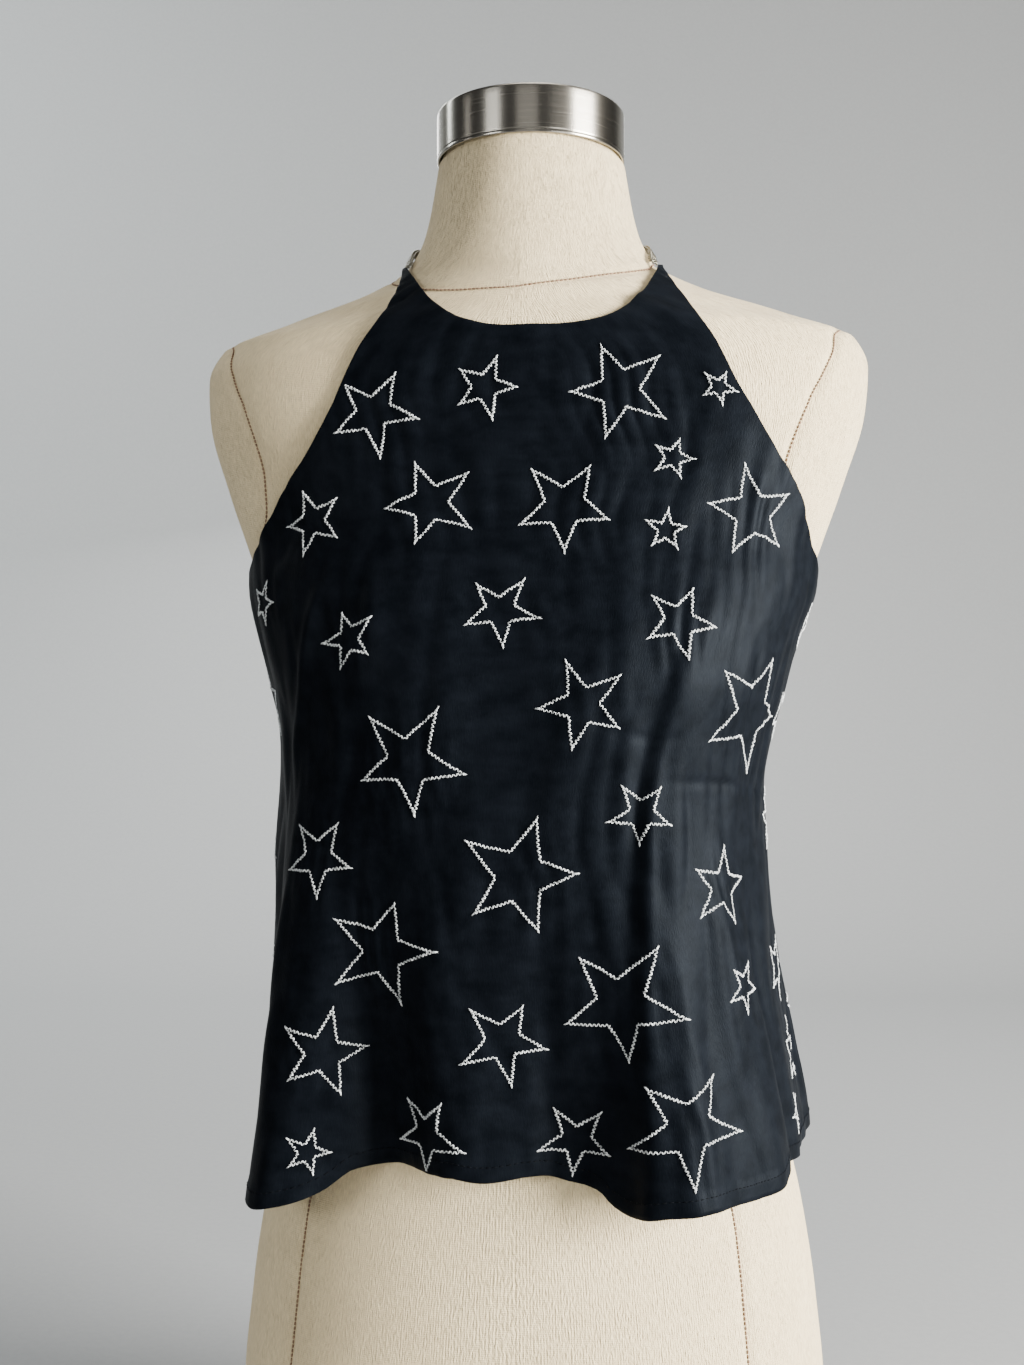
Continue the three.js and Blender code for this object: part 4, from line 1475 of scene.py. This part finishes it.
@dataclass
class Studio:
    """The pale sweep behind the form, its lights and the even light of the room. Sizes are in metres."""

    azimuth: float = 7.0
    wall_distance: float = 2.6
    sweep_radius: float = 1.1
    near: float = -3.0
    half_width: float = 4.0
    wall_height: float = 3.4
    room_light: tuple[float, float, float] = (0.96, 0.98, 1.0)
    room_strength: float = 0.06
    lamps: tuple[Lamp, ...] = (
        Lamp("window", (2.3, -0.8, 0.8), (0.0, 0.0, 0.48), 1.1, 390.0, (1.0, 0.985, 0.95)),
        Lamp("right_fill", (1.5, -1.8, 0.5), (0.0, 0.0, 0.4), 0.8, 9.0, (0.98, 0.99, 1.0)),
        Lamp("left_fill", (-1.5, -1.9, 1.0), (0.0, 0.0, 0.5), 0.7, 18.0, (0.95, 0.98, 1.0)),
        Lamp("front_room", (0.1, -2.8, 1.2), (0.0, 0.0, 0.5), 1.2, 5.0),
        Lamp("ceiling", (0.1, -0.1, 2.6), (0.0, 0.0, 0.5), 1.2, 20.0),
        Lamp("side_strip", (-2.3, -0.7, 1.2), (0.0, 0.0, 0.6), 0.3, 1.6),
        Lamp("wall_wash", (-2.0, 1.0, 2.0), (-1.3, 2.6, 0.9), 1.0, 46.0, (0.90, 0.97, 1.0)),
        Lamp("back_fill", (-0.5, 2.2, 1.6), (0.0, 0.0, 0.5), 1.4, 45.0),
    )

    def build(self, paper: bpy.types.Material) -> None:
        """Make the sweep and set up the lights."""
        turn = np.linspace(0, math.pi / 2, 24)
        start = self.wall_distance - self.sweep_radius
        along = np.concatenate([[self.near], start + self.sweep_radius * np.sin(turn), [self.wall_distance]])
        rise = np.concatenate([[0.0], self.sweep_radius * (1 - np.cos(turn)), [self.wall_height]])
        angle = math.radians(self.azimuth)
        right = np.array([math.cos(angle), math.sin(angle), 0.0])
        ahead = np.array([-math.sin(angle), math.cos(angle), 0.0])
        across = np.linspace(-self.half_width, self.half_width, 9)
        points = (across[None, :, None] * right + along[:, None, None] * ahead
                  + rise[:, None, None] * np.array([0.0, 0.0, 1.0]))
        mesh = bpy.data.meshes.new("sweep")
        mesh.from_pydata(points.reshape(-1, 3).tolist(), [], grid_faces(len(along), len(across)).tolist())
        mesh.polygons.foreach_set("use_smooth", np.ones(len(mesh.polygons), bool))
        mesh.materials.append(paper)
        sweep = bpy.data.objects.new("sweep", mesh)
        bpy.context.scene.collection.objects.link(sweep)
        for lamp in self.lamps:
            lamp.make()
        world = bpy.data.worlds.new("room")
        world.use_nodes = True
        background = world.node_tree.nodes["Background"]
        background.inputs["Color"].default_value = (*self.room_light, 1.0)
        background.inputs["Strength"].default_value = self.room_strength
        bpy.context.scene.world = world


def main() -> None:
    """Build the top on its dress form, and report each piece."""
    logging.basicConfig(level=logging.INFO, format="%(name)s: %(message)s")
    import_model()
    view = Viewpoint()
    view.make_camera()
    Studio(azimuth=view.azimuth).build(StudioPaper().make())
    form = FormSurface()
    cloth = ClothSurface(form)
    front_stars = view.find(cloth, FRONT_STARS)
    stars = [*front_stars, *SIDE_STARS, *BACK_STARS]
    panels = Panels(cloth, Relief(cloth, stars))
    sewing = PlainThread("navy_thread", (0.0022, 0.0028, 0.0040), 0.7).make()
    pieces = panels.build(NavySatin().make(), sewing)
    embroidery = Embroidery(panels)
    silver = SilverThread().make()
    upper = [star for star in front_stars if star.z > 440]
    lower = [star for star in [*front_stars, *SIDE_STARS] if star not in upper]
    front_upper = embroidery.build("front_stars_upper", upper, silver)
    front_lower = embroidery.build("front_stars_lower", lower, silver)
    back_upper = embroidery.build("back_stars_upper", [s for s in BACK_STARS if s.z > 390], silver)
    back_lower = embroidery.build("back_stars_lower", [s for s in BACK_STARS if s.z <= 390], silver)
    chain = NeckChain(cloth)
    metal = BrushedMetal("chain_metal", (0.22, 0.205, 0.16), (0.26, 0.40), (400.0, 400.0, 400.0)).make()
    chain.half("neck_links_left", 1, metal)
    chain.half("neck_links_right", -1, metal)
    chain.clasp(metal)
    dress_form = DressForm(form)
    dress_form.cover(CottonCover().make())
    dress_form.seam_lines(PlainThread("cover_thread", (0.30, 0.19, 0.125), 0.85).make())
    nickel = BrushedMetal("brushed_nickel", (0.40, 0.37, 0.315), (0.22, 0.30), (14.0, 14.0, 2400.0), 0.8)
    dress_form.neck_cap(nickel.make())
    dress_form.board(Plywood().make())


if __name__ == "__main__":
    main()
